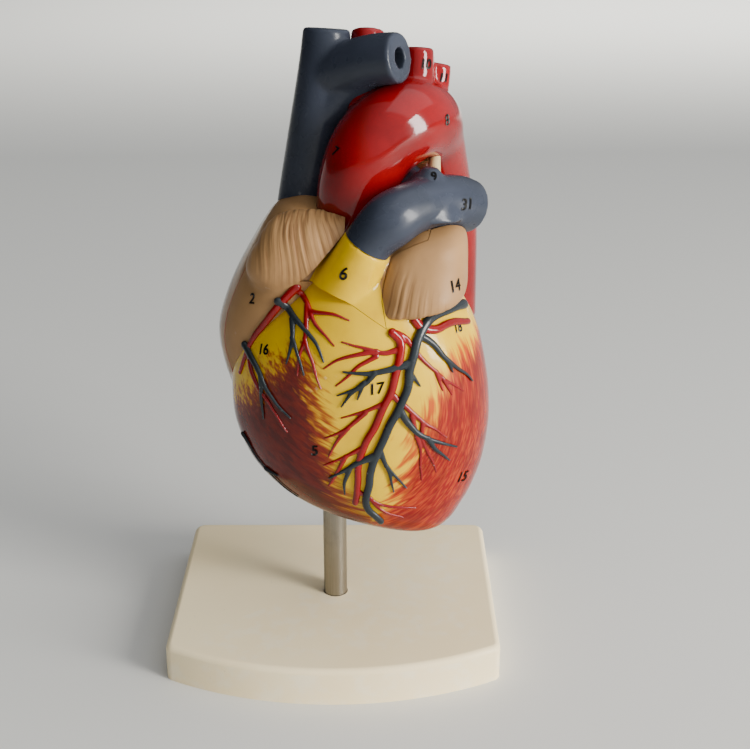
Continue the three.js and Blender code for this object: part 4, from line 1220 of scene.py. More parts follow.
def nearness(points: Array, forms: Iterable[Workpiece]) -> Array:
    """The distance of each point to the nearest of some surfaces, in millimetres."""
    best = np.full(len(points), np.inf)
    for form in forms:
        tree = form.tree()
        best = np.minimum(best, [tree.find_nearest(point)[3] for point in points.tolist()])
    return best / MM


def cloud(points: Array, size: float, seed: float = 0.0) -> Array:
    """Smooth noise from about -1 to 1 at points in millimetres, with lumps of that size."""
    shift = Vector((seed, seed * 0.7, seed * 1.3))
    return np.array([noise.noise(Vector(point) / size + shift) for point in points.tolist()])


def round_about(flat: Array, centre: Sequence[float]) -> tuple[Array, Array]:
    """Each point's angle and distance about a centre."""
    away = flat - np.array(centre)
    return np.arctan2(away[:, 1], away[:, 0]), np.linalg.norm(away, axis=1)


def mark_lining(wall: Workpiece, outer: Workpiece, rooms: Workpiece) -> Array:
    """Marks where a wall is lined, and gives each point's distance to its outer form in millimetres."""
    points = wall.points()
    outside, inside = nearness(points, [outer]), nearness(points, [rooms])
    wall.mark("inner", np.clip(outside - inside, -MARK_LIMIT, MARK_LIMIT))
    return outside


def mark_muscle(wall: Workpiece) -> None:
    """Marks a wall's muscle, its side and the run of its fibres."""
    spots = table_places(wall.points())
    flat = spots[:, [0, 2]]
    right = outline_depth(flat, RIGHT_MUSCLE_ZONE)
    left = outline_depth(flat, LEFT_MUSCLE_ZONE)
    grooves = np.min([line_distance(flat, route) - width for route, width in BACK_GROOVES], axis=0)
    behind = smooth_step(spots[:, 1], BACK_FROM, BACK_WHOLE)
    back = np.minimum(grooves, BACK_MUSCLE_TOP - spots[:, 2])
    wall.mark("muscle", (1 - behind) * np.maximum(right + RIGHT_MUSCLE_REACH, left) + behind * back)
    front_side = smooth_step(left - right, -SIDE_FEATHER, SIDE_FEATHER)
    wall.mark("left", front_side * (1 - behind) + behind * smooth_step(spots[:, 0], *BACK_SIDES))
    turn_left, reach_left = round_about(flat, LEFT_FIBRE_CENTRE)
    turn_right, reach_right = round_about(flat, RIGHT_FIBRE_CENTRE)
    on_left = left > right
    along = np.where(on_left, turn_left * LEFT_FIBRE_RADIUS, turn_right * RIGHT_FIBRE_RADIUS)
    across = np.where(on_left, reach_left, reach_right)
    wall.mark("grain", np.column_stack((along, across, spots[:, 1])))


@dataclass
class BackHalf:
    """The back of the heart: its wall, the rod's socket and the magnets of the seam."""

    forms: Forms
    outer: Workpiece
    rooms: Workpiece
    voxel: float = 0.8

    def pockets(self) -> list[Workpiece]:
        """The room that the magnets take in both walls."""
        depth = MAGNET_THICKNESS + SEAM_GAP / 2 + PIECE_GAP
        reach = MAGNET_RADIUS + SLIP_GAP
        return [bar((x, SEAM_PLANE - depth, z), (x, SEAM_PLANE + depth, z), reach) for x, z in MAGNET_SPOTS]

    def wall(self) -> None:
        """Casts the back wall with the atria and the yellow cone, and paints it."""
        forms = self.forms
        wall = self.outer.copy().remeshed(self.voxel, smooth=6)
        wall.cut(forms.trunk(TOUCH), front_block(-SEEN_GAP / 2).cut(notch_prism(0)))
        wall.cut(self.rooms, keep=True)
        wall.cut(forms.aorta(TOUCH), forms.socket_hole(), *self.pockets()).largest()
        mark_lining(wall, self.outer, self.rooms)
        wall.mark_seam(SEAM_PLANE + SEEN_GAP / 2)
        mark_muscle(wall)
        muscle, cone = [forms.ventricles.blank()], [forms.cone()]
        lobes = [*forms.atria(), forms.left_ear.blank()]
        points = wall.points()
        to_lobes, to_muscle, to_cone = (nearness(points, group) for group in (lobes, muscle, cone))
        wall.mark("atrial", np.clip(np.minimum(to_muscle, to_cone) - to_lobes, -MARK_LIMIT, MARK_LIMIT))
        for form in (*muscle, *cone, *lobes):
            form.scrap()
        wall.finish("back_wall_painted", HEART_PAINT, Body.HEART, "back_wall", crease=38)

    def socket(self) -> None:
        """The moulded sleeve that takes the rod."""
        inner, outer = ROD_RADIUS + SLIP_GAP, SOCKET_RADIUS
        end = (ROD_HIGH.z + SLIP_GAP * MM - UNDERSIDE) / MM
        profile = (
            (inner, SOCKET_MOUTH), (outer - 0.5, SOCKET_MOUTH), (outer, SOCKET_MOUTH + 0.5),
            (outer, SOCKET_TOP - 0.6), (outer - 0.6, SOCKET_TOP), (0, SOCKET_TOP), (0, end), (inner, end),
        )
        sleeve = turned(profile, closed=True, foot=UNDERSIDE)
        sleeve.finish("rod_socket_sleeve", SOCKET_PLASTIC, Body.HEART, "rod_socket")

    def magnets(self) -> None:
        """The disc magnets on both sides of the seam."""
        for index, (x, z) in enumerate(MAGNET_SPOTS, 1):
            for side, body, name in ((1, Body.HEART, "back"), (-1, Body.FRONT, "front")):
                near = SEAM_PLANE + side * SEAM_GAP / 2
                far = near + side * MAGNET_THICKNESS
                disc = rod_between(place(x, near, z), place(x, far, z), MAGNET_RADIUS * MM)
                round_edges(disc, [edge for edge in disc.edges if edge.calc_face_angle(0) > 1], 0.3, 3)
                node = f"{name}_magnet_{index}"
                Workpiece(disc).finish(node + "_disc", MAGNET_NICKEL, body, node)

    def build(self) -> None:
        """Makes all the pieces."""
        self.wall()
        self.socket()
        self.magnets()


def turned(profile: Outline, closed: bool = False, sides: int = 64, foot: float = 0.0) -> Workpiece:
    """Turns a profile of (radius, height above a foot) in millimetres about the rod's axis."""
    mesh = bmesh.new()
    corners = [mesh.verts.new((radius * MM, 0, foot + height * MM)) for radius, height in profile]
    runs = [mesh.edges.new(pair) for pair in zip(corners, corners[1:])]
    if closed:
        runs.append(mesh.edges.new((corners[-1], corners[0])))
    bmesh.ops.spin(
        mesh, geom=corners + runs, cent=(0, 0, 0), axis=(0, 0, 1), angle=2 * math.pi, steps=sides,
        use_merge=True,
    )
    bmesh.ops.remove_doubles(mesh, verts=mesh.verts, dist=1e-6)
    bmesh.ops.recalc_face_normals(mesh, faces=mesh.faces)
    return Workpiece(mesh)


@dataclass
class GreatVessels:
    """The aorta, the pulmonary trunk, the hollow veins, the lung veins and the ligament."""

    forms: Forms
    voxel: float = 0.6

    def painted(self, vessel: Workpiece, node: str, red: bool = False) -> None:
        """Paints a vessel red or grey."""
        vessel.finish(node + "_vessel", ARTERY_PAINT if red else VEIN_PAINT, Body.HEART, node, crease=38)

    def aorta(self) -> None:
        """The red aorta with its arch's three branches."""
        bores = [Pipe(path).bore(STUMP_WALL) for path in ARCH_BRANCHES]
        aorta = self.forms.aorta().remeshed(self.voxel, smooth=16)
        aorta.cut(Pipe(AORTA).bore(VESSEL_WALL), *bores).remeshed(self.voxel * 1.05, smooth=4)
        aorta.finish("aorta_vessel", ARTERY_PAINT, Body.HEART, "aorta")

    def trunk(self) -> None:
        """The grey pulmonary trunk with its two branches."""
        forms, branch = self.forms, Pipe(RIGHT_TRUNK_BRANCH)
        whole = Pipe(TRUNK).blank().fused(branch.blank(), Pipe(TRUNK_HUMP).blank())
        trunk = whole.remeshed(self.voxel, smooth=10)
        trunk.cut(forms.trunk_bore(), branch.bore(VESSEL_WALL)).remeshed(self.voxel * 0.9, smooth=4)
        trunk.cut(forms.cone_side(TOUCH), forms.aorta(TOUCH), forms.cava(TOUCH)).largest()
        self.painted(trunk, "pulmonary_trunk")

    def chambers(self) -> list[Workpiece]:
        """The atria and ventricles, just short of what lies on them."""
        return [*self.forms.atria(TOUCH), self.forms.ventricles.blank(TOUCH)]

    def upper_cava(self) -> None:
        """The upper hollow vein with the left head vein."""
        cava = self.forms.cava().remeshed(self.voxel, smooth=18)
        cava.cut(Pipe(UPPER_CAVA).bore(HEAD_VEIN_WALL), Pipe(LEFT_HEAD_VEIN).bore(HEAD_VEIN_WALL))
        cava.remeshed(self.voxel * 0.9, smooth=5).cut(*self.chambers(), self.forms.aorta(TOUCH)).largest()
        self.painted(cava, "superior_vena_cava")

    def lower_cava(self) -> None:
        """The lower hollow vein."""
        cava = Pipe(LOWER_CAVA).tube(VEIN_WALL).remeshed(self.voxel, smooth=5)
        self.painted(cava.cut(*self.chambers()).largest(), "inferior_vena_cava")

    def lung_veins(self) -> None:
        """The four veins from the lungs."""
        forms = self.forms
        for name, path in LUNG_VEINS.items():
            vein = Pipe(path).tube(VEIN_WALL).remeshed(self.voxel * 0.8, smooth=4)
            beside = forms.aorta(TOUCH), forms.trunk(TOUCH), forms.left_ear.blank(TOUCH)
            self.painted(vein.cut(*self.chambers(), *beside).largest(), name, red=True)

    def ligament(self) -> None:
        """The short cord between the trunk and the arch."""
        cord = Pipe(LIGAMENT).blank().cut(self.forms.aorta(TOUCH), self.forms.trunk(TOUCH)).largest()
        cord.finish("ligament_cord", VALVE_PAINT, Body.HEART, "ligamentum_arteriosum")

    def build(self) -> None:
        """Makes all the pieces."""
        self.aorta()
        self.trunk()
        self.upper_cava()
        self.lower_cava()
        self.lung_veins()
        self.ligament()


@dataclass(frozen=True)
class Ribs:
    """The long fine ribs of an auricle, in X and Z of the tables.

    Attributes:
        centre: The point that they run out from.
        way: The direction that they come in along.
        start: How far along it they start.
        full: How far along it they are full.
        spread: The distance from the centre at which their spacing is true.
        length: How long one rib is.
        fine: The width and height of the fine ribs.
        broad: The width and height of the broad folds.
        sink: How far the ribbed skin is drawn in.
    """

    centre: tuple[float, float]
    way: tuple[float, float]
    start: float
    full: float
    spread: float = 55.0
    length: float = 60.0
    fine: tuple[float, float] = (1.1, 0.32)
    broad: tuple[float, float] = (3.2, 0.12)
    sink: float = 0.08

    def share(self, spots: Array) -> Array:
        """How far the ribs have come in at each point."""
        along = spots[:, 0] * self.way[0] + spots[:, 2] * self.way[1]
        return smooth_step(along, self.start, self.full)

    def grain(self, spots: Array) -> Array:
        """Each point's place along and across the ribs, with a little of its depth."""
        turn, reach = round_about(spots[:, [0, 2]], self.centre)
        sway = cloud(spots, 16.0, 3.0) * 1.2
        return np.column_stack((reach, turn * self.spread + sway, spots[:, 1] * 0.08))

    def raised(self, skin: Workpiece) -> Workpiece:
        """Raises the ribs on an auricle's whole outer form."""
        spots = table_places(skin.points())
        grain = self.grain(spots)
        fine = cloud(grain / np.array((self.length, 1.0, 1.0)), self.fine[0])
        broad = cloud(grain / np.array((self.length / 1.2, 1.0, 1.0)), self.broad[0], 5.0)
        height = np.clip(fine, -0.5, 0.5) * self.fine[1] + broad * self.broad[1] - self.sink
        return skin.push(self.share(spots) * smooth_step(-spots[:, 1], 4, 12) * height)


RIGHT_RIBS = Ribs((-18, 165), (0.4, 0.9), 72, 90)
LEFT_RIBS = Ribs((44, 160), (-0.6, -0.8), -101, -91)


@dataclass
class FrontHalf:
    """The lift-off front: its wall and the two auricles."""

    forms: Forms
    rooms: Workpiece
    pockets: list[Workpiece]
    voxel: float = 0.55
    rib_voxel: float = 0.42

    def wall(self) -> None:
        """Casts the front wall and paints it."""
        skin = self.forms.ventricles.blank().remeshed(self.voxel, smooth=6)
        wall = skin.copy().within(front_block())
        wall.cut(self.rooms, keep=True)
        wall.cut(notch_prism(SEEN_GAP), *self.pockets).largest()
        mark_lining(wall, skin, self.rooms)
        mark_muscle(wall)
        skin.scrap()
        wall.mark("atrial", np.full(len(wall.points()), -MARK_LIMIT))
        wall.mark_seam(SEAM_PLANE - SEEN_GAP / 2)
        wall.finish("front_wall_painted", HEART_PAINT, Body.FRONT, "front_wall", crease=38)

    def neighbours(self) -> list[Workpiece]:
        """The room round what lies beside the auricles."""
        forms = self.forms
        return [
            notch_prism(SEEN_GAP), forms.aorta(SEEN_GAP), forms.trunk(SEEN_GAP), forms.cava(SEEN_GAP),
            forms.ventricles.blank(TOUCH),
        ]

    def lobe(self, skin: Workpiece, room: Workpiece, ribs: Ribs) -> Workpiece:
        """Cuts an auricle from its form, and marks its lining and the run of its ribs."""
        smooth = skin.copy()
        lobe = ribs.raised(skin).within(front_block())
        lobe.cut(room, keep=True)
        lobe.cut(*self.neighbours()).largest()
        outside = mark_lining(lobe, smooth, room)
        smooth.scrap()
        spots = table_places(lobe.points())
        lobe.mark("grain", ribs.grain(spots))
        lobe.mark("ribbed", ribs.share(spots) * (outside < 1.0))
        return lobe.mark_seam(SEAM_PLANE - SEEN_GAP / 2)

    def right_auricle(self) -> None:
        """The tan right auricle."""
        whole = self.forms.right_atrium.blank().joined(self.forms.right_ear.blank())
        skin = whole.remeshed(0.9, smooth=26).remeshed(self.rib_voxel, smooth=2)
        lobe = self.lobe(skin, self.rooms, RIGHT_RIBS)
        lobe.finish("right_auricle_lobe", AURICLE_PAINT, Body.FRONT, "right_auricle", crease=50)

    def left_auricle(self) -> None:
        """The tan left auricle, hollow behind."""
        ear = self.forms.left_ear
        room = ear.drawn_in(ATRIAL_WALL).blank()
        lobe = self.lobe(ear.blank().remeshed(self.rib_voxel, smooth=16), room, LEFT_RIBS)
        room.scrap()
        lobe.finish("left_auricle_lobe", AURICLE_PAINT, Body.FRONT, "left_auricle", crease=50)

    def build(self) -> None:
        """Makes all the pieces."""
        self.wall()
        self.right_auricle()
        self.left_auricle()


@dataclass(frozen=True)
class Branch:
    """A surface vessel, as a route seen from the front and its radius at each end, in millimetres."""

    route: Rows
    wide: float
    fine: float = 0.35


FINE_VOXEL = 0.28
RIGHT_CORONARY = (
    Branch((
        (-11.5, 93.8), (-14, 91.5), (-18.5, 86.5), (-24, 78.5), (-28.5, 72), (-31.5, 65), (-34, 58),
    ), 1.7, 0.8),
    Branch(((-12, 93), (-8, 88.5), (-5.5, 84), (-2, 80), (2, 76)), 1.2),
    Branch(((-6.5, 86.5), (1, 86.5), (7.5, 85)), 0.9),
    Branch(((-8, 88), (-8.5, 77.5), (-10.5, 71), (-11.5, 64)), 1.1),
    Branch(((-8.7, 77.5), (-6.5, 71.5), (-5, 66), (-3, 60)), 0.9),
    Branch(((-30, 68), (-29, 61), (-26.5, 56.5), (-24, 53.5), (-21.5, 50), (-18, 44.5), (-15.5, 41)), 1.1),
)
LEFT_CORONARY = (
    Branch((
        (22, 80.5), (24.8, 77), (25, 72), (24, 67), (22, 59), (19, 53), (16.5, 46), (12.5, 38.5), (10.5, 31),
        (10, 23), (9, 13),
    ), 1.65, 1.2),
    Branch(((25, 74.5), (20, 73.5), (16, 74.5), (10.5, 76), (4.5, 77.5)), 1.1),
    Branch(((17, 74.3), (9.5, 73), (3, 71), (-2, 67.5)), 1.0),
    Branch(((17, 72.5), (10.5, 69), (6.5, 65), (2.5, 61.5)), 0.9),
    Branch(((20, 55), (13, 52), (4, 49)), 1.0), Branch(((13, 51.5), (5.5, 44.5), (-2, 40.5)), 1.0),
    Branch(((7, 45.5), (2, 39), (-0.5, 33)), 0.9), Branch(((12, 37.5), (5.5, 33.5), (-2.5, 29)), 1.0),
    Branch(((5.5, 33.5), (1, 23.5), (-1, 20)), 0.9),
    Branch(((23.5, 80), (27.5, 77.5), (32, 71), (38, 64), (44, 58.5), (49, 54)), 1.2),
    Branch(((38, 64), (41, 56.5)), 0.9), Branch(((41, 61), (44.5, 54)), 0.8),
    Branch(((22, 59), (27.5, 52.5), (33.5, 46), (38, 42), (43, 38)), 1.2),
    Branch(((29.5, 49), (32, 39.5), (33, 31.5), (33.5, 21.5)), 1.0),
    Branch(((33.5, 46), (34, 38), (37, 30), (39, 24)), 0.9),
    Branch(((9.5, 19), (12.5, 16.5), (18.5, 12.5), (25.5, 10.5), (31.5, 9.5)), 1.0),
    Branch(((14.5, 15.5), (19.5, 9), (27, 5.5)), 0.8),
)
CIRCUMFLEX = (Branch(((30, 84), (33, 80.5), (38, 79), (42, 79.6), (46, 79.2), (50.4, 76.8)), 1.8, 1.2),)
GREAT_VEIN = (
    Branch((
        (48.6, 82.2), (44.5, 83.6), (39.5, 84), (35, 82.6), (31.8, 78.4), (29.9, 72.5), (28.6, 66.5),
        (27.6, 59.5), (25, 53), (21.5, 46), (18, 37.5), (15.2, 29.5), (14, 21.5), (12.8, 15), (14, 10),
        (18.5, 4.5),
    ), 1.8, 1.3),
    Branch(((29.5, 69.5), (24, 68), (16, 66.5), (10, 66.5), (5, 67)), 1.5, 0.4),
    Branch(((16, 66.5), (12, 62), (3, 58)), 1.2), Branch(((12.5, 63), (8, 59), (4, 53.5)), 1.0),
    Branch(((12, 62.5), (10, 56.5)), 0.8),
    Branch(((17, 34.5), (10.5, 31.5), (5.5, 28), (-0.5, 24)), 1.5, 0.4),
    Branch(((7, 28.5), (5, 22.5), (5, 17)), 1.0),
    Branch(((31.5, 78.6), (37, 74.5), (42, 67.5), (46.5, 63), (52, 56.5)), 1.4, 0.4),
    Branch(((41.5, 68), (44.5, 62.5)), 0.8), Branch(((29.5, 65), (32.5, 60)), 0.9),
    Branch(((24.8, 52.5), (29, 45.5), (34.5, 40), (40.5, 36.5), (46.5, 33)), 1.4, 0.4),
    Branch(((35.5, 39.5), (39, 33.5), (44, 28)), 1.0), Branch(((18, 37), (21, 28.5), (23, 18)), 1.1),
    Branch(((20.5, 30), (22.5, 26.5), (28, 19.5)), 0.9),
)
FRONT_VEINS = (
    Branch(((-18.9, 88.3), (-14.5, 85), (-10, 81.5), (-4.5, 76.5), (-2, 70)), 1.5, 0.4),
    Branch(((-13, 83), (-13, 75.5), (-15.5, 67.5)), 1.2),
    Branch(((-13, 77), (-11.5, 73.5), (-9, 64.5)), 1.0),
)
SMALL_VEIN = (
    Branch(((-31.5, 69.5), (-27.5, 64.5), (-24, 58.5), (-20, 52.5), (-14.5, 47)), 1.4, 0.4),
    Branch(((-25.2, 60.5), (-24.7, 56), (-25.2, 50.5), (-25, 44)), 1.1),
    Branch(((-33.7, 33.2), (-32, 30.5), (-30.2, 27.8)), 0.9, 0.5),
    Branch(((-31, 28.8), (-27.5, 24), (-24.2, 20), (-19, 15), (-13, 10.5)), 0.5, 0.35),
    Branch(((-25, 21), (-22.5, 20.4), (-20, 20)), 0.9, 0.4),
)
CORONARY_SINUS = (Branch(((43, 74), (30, 67), (14, 64.5), (0, 63), (-8, 62)), 3, 3.6),)
BACK_ARTERY = (
    Branch(((-6, 56), (-3, 44), (1, 30), (6, 17), (11, 8)), 1.5, 0.6),
    Branch(((-2, 41), (8, 36), (17, 30)), 1.0), Branch(((2, 27), (-6, 22), (-12, 18)), 1.0),
)
BACK_VEIN = (Branch(((2.5, 60), (3.5, 48), (6.5, 34), (11, 20), (15, 11)), 2, 0.8),)


@dataclass
class SurfaceVessels:
    """The coronary vessels, modelled in relief on the heart's skin.

    Attributes:
        skin: The form that they lie on.
        step: The length of a vessel between two of its rings, in millimetres.
        sides: The faces round a vessel.
        wide: How much wider than round it lies.
        high: How much lower than round it lies.
    """

    skin: Workpiece
    step: float = 0.9
    sides: int = 14
    wide: float = 1.08
    high: float = 0.85

    def laid(self, x: float, z: float, side: int) -> tuple[Vector, Vector]:
        """The place and direction of the skin, seen along Y from the front (-1) or the back (1)."""
        start = place(x, side * 300, z)
        spot, normal, _, _ = self.tree.ray_cast(start, Vector((0, -side, 0)))
        return spot, normal

    def branch(self, branch: Branch, side: int, lift: float) -> Workpiece:
        """Lays one vessel on the skin, with rounded ends."""
        path = Spline([(x, 0, z) for x, z in branch.route])
        length = sum(math.dist(a, b) for a, b in zip(branch.route, branch.route[1:]))
        count = max(round(length / self.step), 4)
        spots = []
        for index in range(count + 1):
            x, _, z = path.at(index / count)
            sway = noise.noise(Vector((x, z, branch.wide)) / 7) * 0.5
            spots.append(self.laid(x + sway, z + sway * 0.6, side))
        rings: list[Ring] = []
        for index, (spot, normal) in enumerate(spots):
            before, after = spots[max(index - 1, 0)][0], spots[min(index + 1, count)][0]
            along = (after - before).normalized()
            share = index / count
            radius = (branch.wide + (branch.fine - branch.wide) * share) * MM
            centre = spot + normal * (radius * 0.3 + lift * MM)
            across, up = normal.cross(along).normalized() * radius * self.wide, normal * radius * self.high
            if index == 0:
                rings.append(point_ring(centre - along * radius))
                rings.append(oval_ring(centre - along * radius * 0.6, across * 0.75, up * 0.75))
            rings.append(oval_ring(centre, across, up))
            if index == count:
                rings.append(oval_ring(centre + along * radius * 0.6, across * 0.75, up * 0.75))
                rings.append(point_ring(centre + along * radius))
        return Workpiece(wrapped(rings, self.sides))

    def tree_of(
        self, node: str, branches: Sequence[Branch], side: int, finish: Finish, lift: float = 0.0,
    ) -> None:
        """Lays a vessel with its branches, and fuses them."""
        first, *rest = [self.branch(branch, side, lift) for branch in branches]
        vessels = first.joined(*rest).remeshed(FINE_VOXEL, smooth=2)
        if side < 0:
            vessels.within(front_block()).cut(notch_prism(SEEN_GAP))
        vessels.finish(node + "_relief", finish, Body.FRONT if side < 0 else Body.HEART, node)

    def build(self) -> None:
        """Makes all the pieces."""
        self.tree = self.skin.tree()
        red, grey = ARTERY_PAINT, SURFACE_VEIN_PAINT
        self.tree_of("front_interventricular_artery", LEFT_CORONARY, -1, red)
        self.tree_of("right_coronary_artery", RIGHT_CORONARY, -1, red)
        self.tree_of("circumflex_artery", CIRCUMFLEX, -1, red)
        self.tree_of("great_cardiac_vein", GREAT_VEIN, -1, grey, 0.45)
        self.tree_of("anterior_cardiac_veins", FRONT_VEINS, -1, grey, 0.3)
        self.tree_of("small_cardiac_vein", SMALL_VEIN, -1, grey, 0.3)
        self.tree_of("back_interventricular_artery", BACK_ARTERY, 1, red)
        self.tree_of("middle_cardiac_vein", BACK_VEIN, 1, grey, 0.3)
        self.tree_of("coronary_sinus", CORONARY_SINUS, 1, grey)


LEAF_THICKNESS = 1.4
CORD_RADIUS = 0.5
MOUTH_SHARE = 0.35
VALVE_GAP = 0.7


@dataclass(frozen=True)
class Papillary:
    """A muscle post in a ventricle that holds a valve's cords, in the tables' millimetres."""

    node: str
    foot: Spot
    tip: Spot
    radius: float
    tip_radius: float
    flutes: int = 5
    flute_depth: float = 0.09
    taper: float = 1.2

    def blank(self) -> Workpiece:
        """The fluted post, wider at its foot."""
        steps = 26
        foot, tip = Vector(self.foot), Vector(self.tip)
        rings: list[Ring] = [point_ring(place(*self.foot))]

        def ring(share: float) -> Ring:
            """One level section of the post."""
            centre = foot.lerp(tip, share)
            radius = self.tip_radius + (self.radius - self.tip_radius) * (1 - share) ** self.taper

            def at(turn: float) -> Vector:
                """The post's edge at a turn."""
                reach = radius * (1 + self.flute_depth * math.cos(self.flutes * turn + 4 * share))
                return place(centre.x + reach * math.cos(turn), centre.y + reach * math.sin(turn), centre.z)

            return at

        rings += [ring(step / steps) for step in range(steps + 1)]
        rings.append(point_ring(place(tip.x, tip.y, tip.z + self.tip_radius * 0.5)))
        return Workpiece(wrapped(rings, 48))


LEFT_POSTS = (
    Papillary("front_papillary_muscle", (29, -3, 8), (28, 3, 42), 5, 2.2),
    Papillary("back_papillary_muscle", (38, 10, 10), (33, 10, 42), 5, 2.2),
)
RIGHT_POSTS = (Papillary("right_papillary_muscle", (-17, -8, 8), (-19, -3, 36), 4.6, 2),)


@dataclass(frozen=True)
class LeafValve:
    """A valve between an atrium and its ventricle: a funnel of leaves, held by cords."""

    node: str
    centre: Spot
    radius: float
    drop: float
    leaves: int
    posts: tuple[Papillary, ...]
    cords: int = 4

    def rim(self, share: float, turn: float, side: int) -> Vector:
        """A point of the funnel.

        Args:
            share: From 0 at its upper rim to 1 at the leaves' edge.
            turn: Round the funnel, in radians.
            side: 1 on the outer face and -1 on the inner.

        Returns:
            The point in the frame.
        """
        scallop = 0.5 + 0.5 * abs(math.sin(self.leaves * turn / 2)) ** 0.7
        top = self.radius - PIECE_GAP - LEAF_THICKNESS / 2
        mouth = MOUTH_SHARE * self.radius + LEAF_THICKNESS / 2
        middle = top + (mouth - top) * share**0.8
        reach = middle + side * LEAF_THICKNESS / 2 * (1 - 0.35 * share)
        x, y, z = self.centre
        depth = (self.drop + LEAF_THICKNESS) * share * scallop
        return place(x + reach * math.cos(turn), y + reach * math.sin(turn), z + LEAF_THICKNESS - depth)

    def build(self) -> None:
        """Makes the valve with its cords."""
        shares = [step / 10 for step in range(11)]
        loop = [(share, 1) for share in shares] + [(share, -1) for share in reversed(shares)] + [(0, 1)]
        rings: list[Ring] = [lambda turn, s=share, f=side: self.rim(s, turn, f) for share, side in loop]
        funnel = Workpiece(wrapped(rings, 72))
        cords = []
        for index, post in enumerate(self.posts):
            tip = place(*post.tip)
            for number in range(self.cords):
                turn = 2 * math.pi * (index + (number + 0.5) / self.cords) / len(self.posts)
                spread = Vector((math.cos(turn), math.sin(turn), -1)) * post.tip_radius * 0.5 * MM
                end = self.rim(0.97, turn, 1)
                cords.append(Workpiece(rod_between(tip + spread, end, CORD_RADIUS * MM, sides=12)))
        valve = funnel.joined(*cords).remeshed(0.3, smooth=2)
        valve.finish(self.node + "_leaves", VALVE_PAINT, Body.HEART, self.node)


@dataclass(frozen=True)
class PocketValve:
    """A valve of three pockets across a great vessel's bore."""

    node: str
    stations: Rows
    share: float
    rise_share: float = 0.35
    sag_share: float = 0.45
    slit: float = 0.5

    def build(self) -> None:
        """Makes the valve square to its vessel."""
        centre, along, vessel = path_station(self.stations, self.share)
        radius = (vessel - VESSEL_WALL) * math.cos(math.pi / 12) - VALVE_GAP
        rise = self.rise_share * radius
        turned_to = along.to_track_quat("Z", "Y")

        def ring(reach: float, lift: float) -> Ring:
            """One ring of the pockets' upper or lower face."""

            def at(turn: float) -> Vector:
                """A point of the ring."""
                pocket = self.sag_share + (1 - self.sag_share) * abs(math.sin(1.5 * turn))
                sag = rise * (1 - reach**2) * pocket
                flat = Vector((math.cos(turn), math.sin(turn), 0)) * radius * reach
                return centre + turned_to @ (flat + Vector((0, 0, lift - sag))) * MM

            return at

        steps = 14
        up = [ring(step / steps, LEAF_THICKNESS) for step in range(1, steps + 1)]
        down = [ring(step / steps, 0.0) for step in range(steps, 0, -1)]
        ends = [
            point_ring(centre + along * (LEAF_THICKNESS - rise * self.sag_share) * MM),
            point_ring(centre - along * rise * self.sag_share * MM),
        ]
        valve = Workpiece(wrapped([ends[0], *up, *down, ends[1]], 72))
        slits = []
        for turn in (0, 2 * math.pi / 3, 4 * math.pi / 3):
            low = Vector((0, -self.slit / 2, -1.5 * radius))
            mesh = box_between(low * MM, Vector((0.8 * radius, -low.y, -low.z)) * MM)
            spot = Matrix.Translation(centre) @ turned_to.to_matrix().to_4x4() @ Matrix.Rotation(turn, 4, "Z")
            bmesh.ops.transform(mesh, matrix=spot, verts=mesh.verts)
            slits.append(Workpiece(mesh))
        valve.cut(*slits).remeshed(0.25, smooth=2)
        valve.finish(self.node + "_pockets", VALVE_PAINT, Body.HEART, self.node)


@dataclass
class Inside:
    """The papillary muscles and the four valves."""

    forms: Forms

    def posts(self) -> None:
        """Makes the muscle posts, each within its ventricle."""
        left = self.forms.left_muscle.drawn_in(LEFT_WALL).blank(0.5)
        right = self.forms.ventricles.drawn_in(RIGHT_WALL).blank(0.5)
        for posts, room in ((LEFT_POSTS, left), (RIGHT_POSTS, right)):
            for post in posts:
                muscle = post.blank().within(room, keep=True).remeshed(0.4, smooth=4).largest()
                muscle.finish(post.node + "_post", LINING_PAINT, Body.HEART, post.node)
            room.scrap()

    def build(self) -> None:
        """Makes all the pieces."""
        self.posts()
        LeafValve("mitral_valve", MITRAL_SPOT, VALVE_RADIUS, 13, 2, LEFT_POSTS).build()
        LeafValve("tricuspid_valve", TRICUSPID_SPOT, VALVE_RADIUS, 11, 3, RIGHT_POSTS).build()
        PocketValve("aortic_valve", AORTA, 0.1).build()
        PocketValve("pulmonary_valve", TRUNK, 0.42).build()


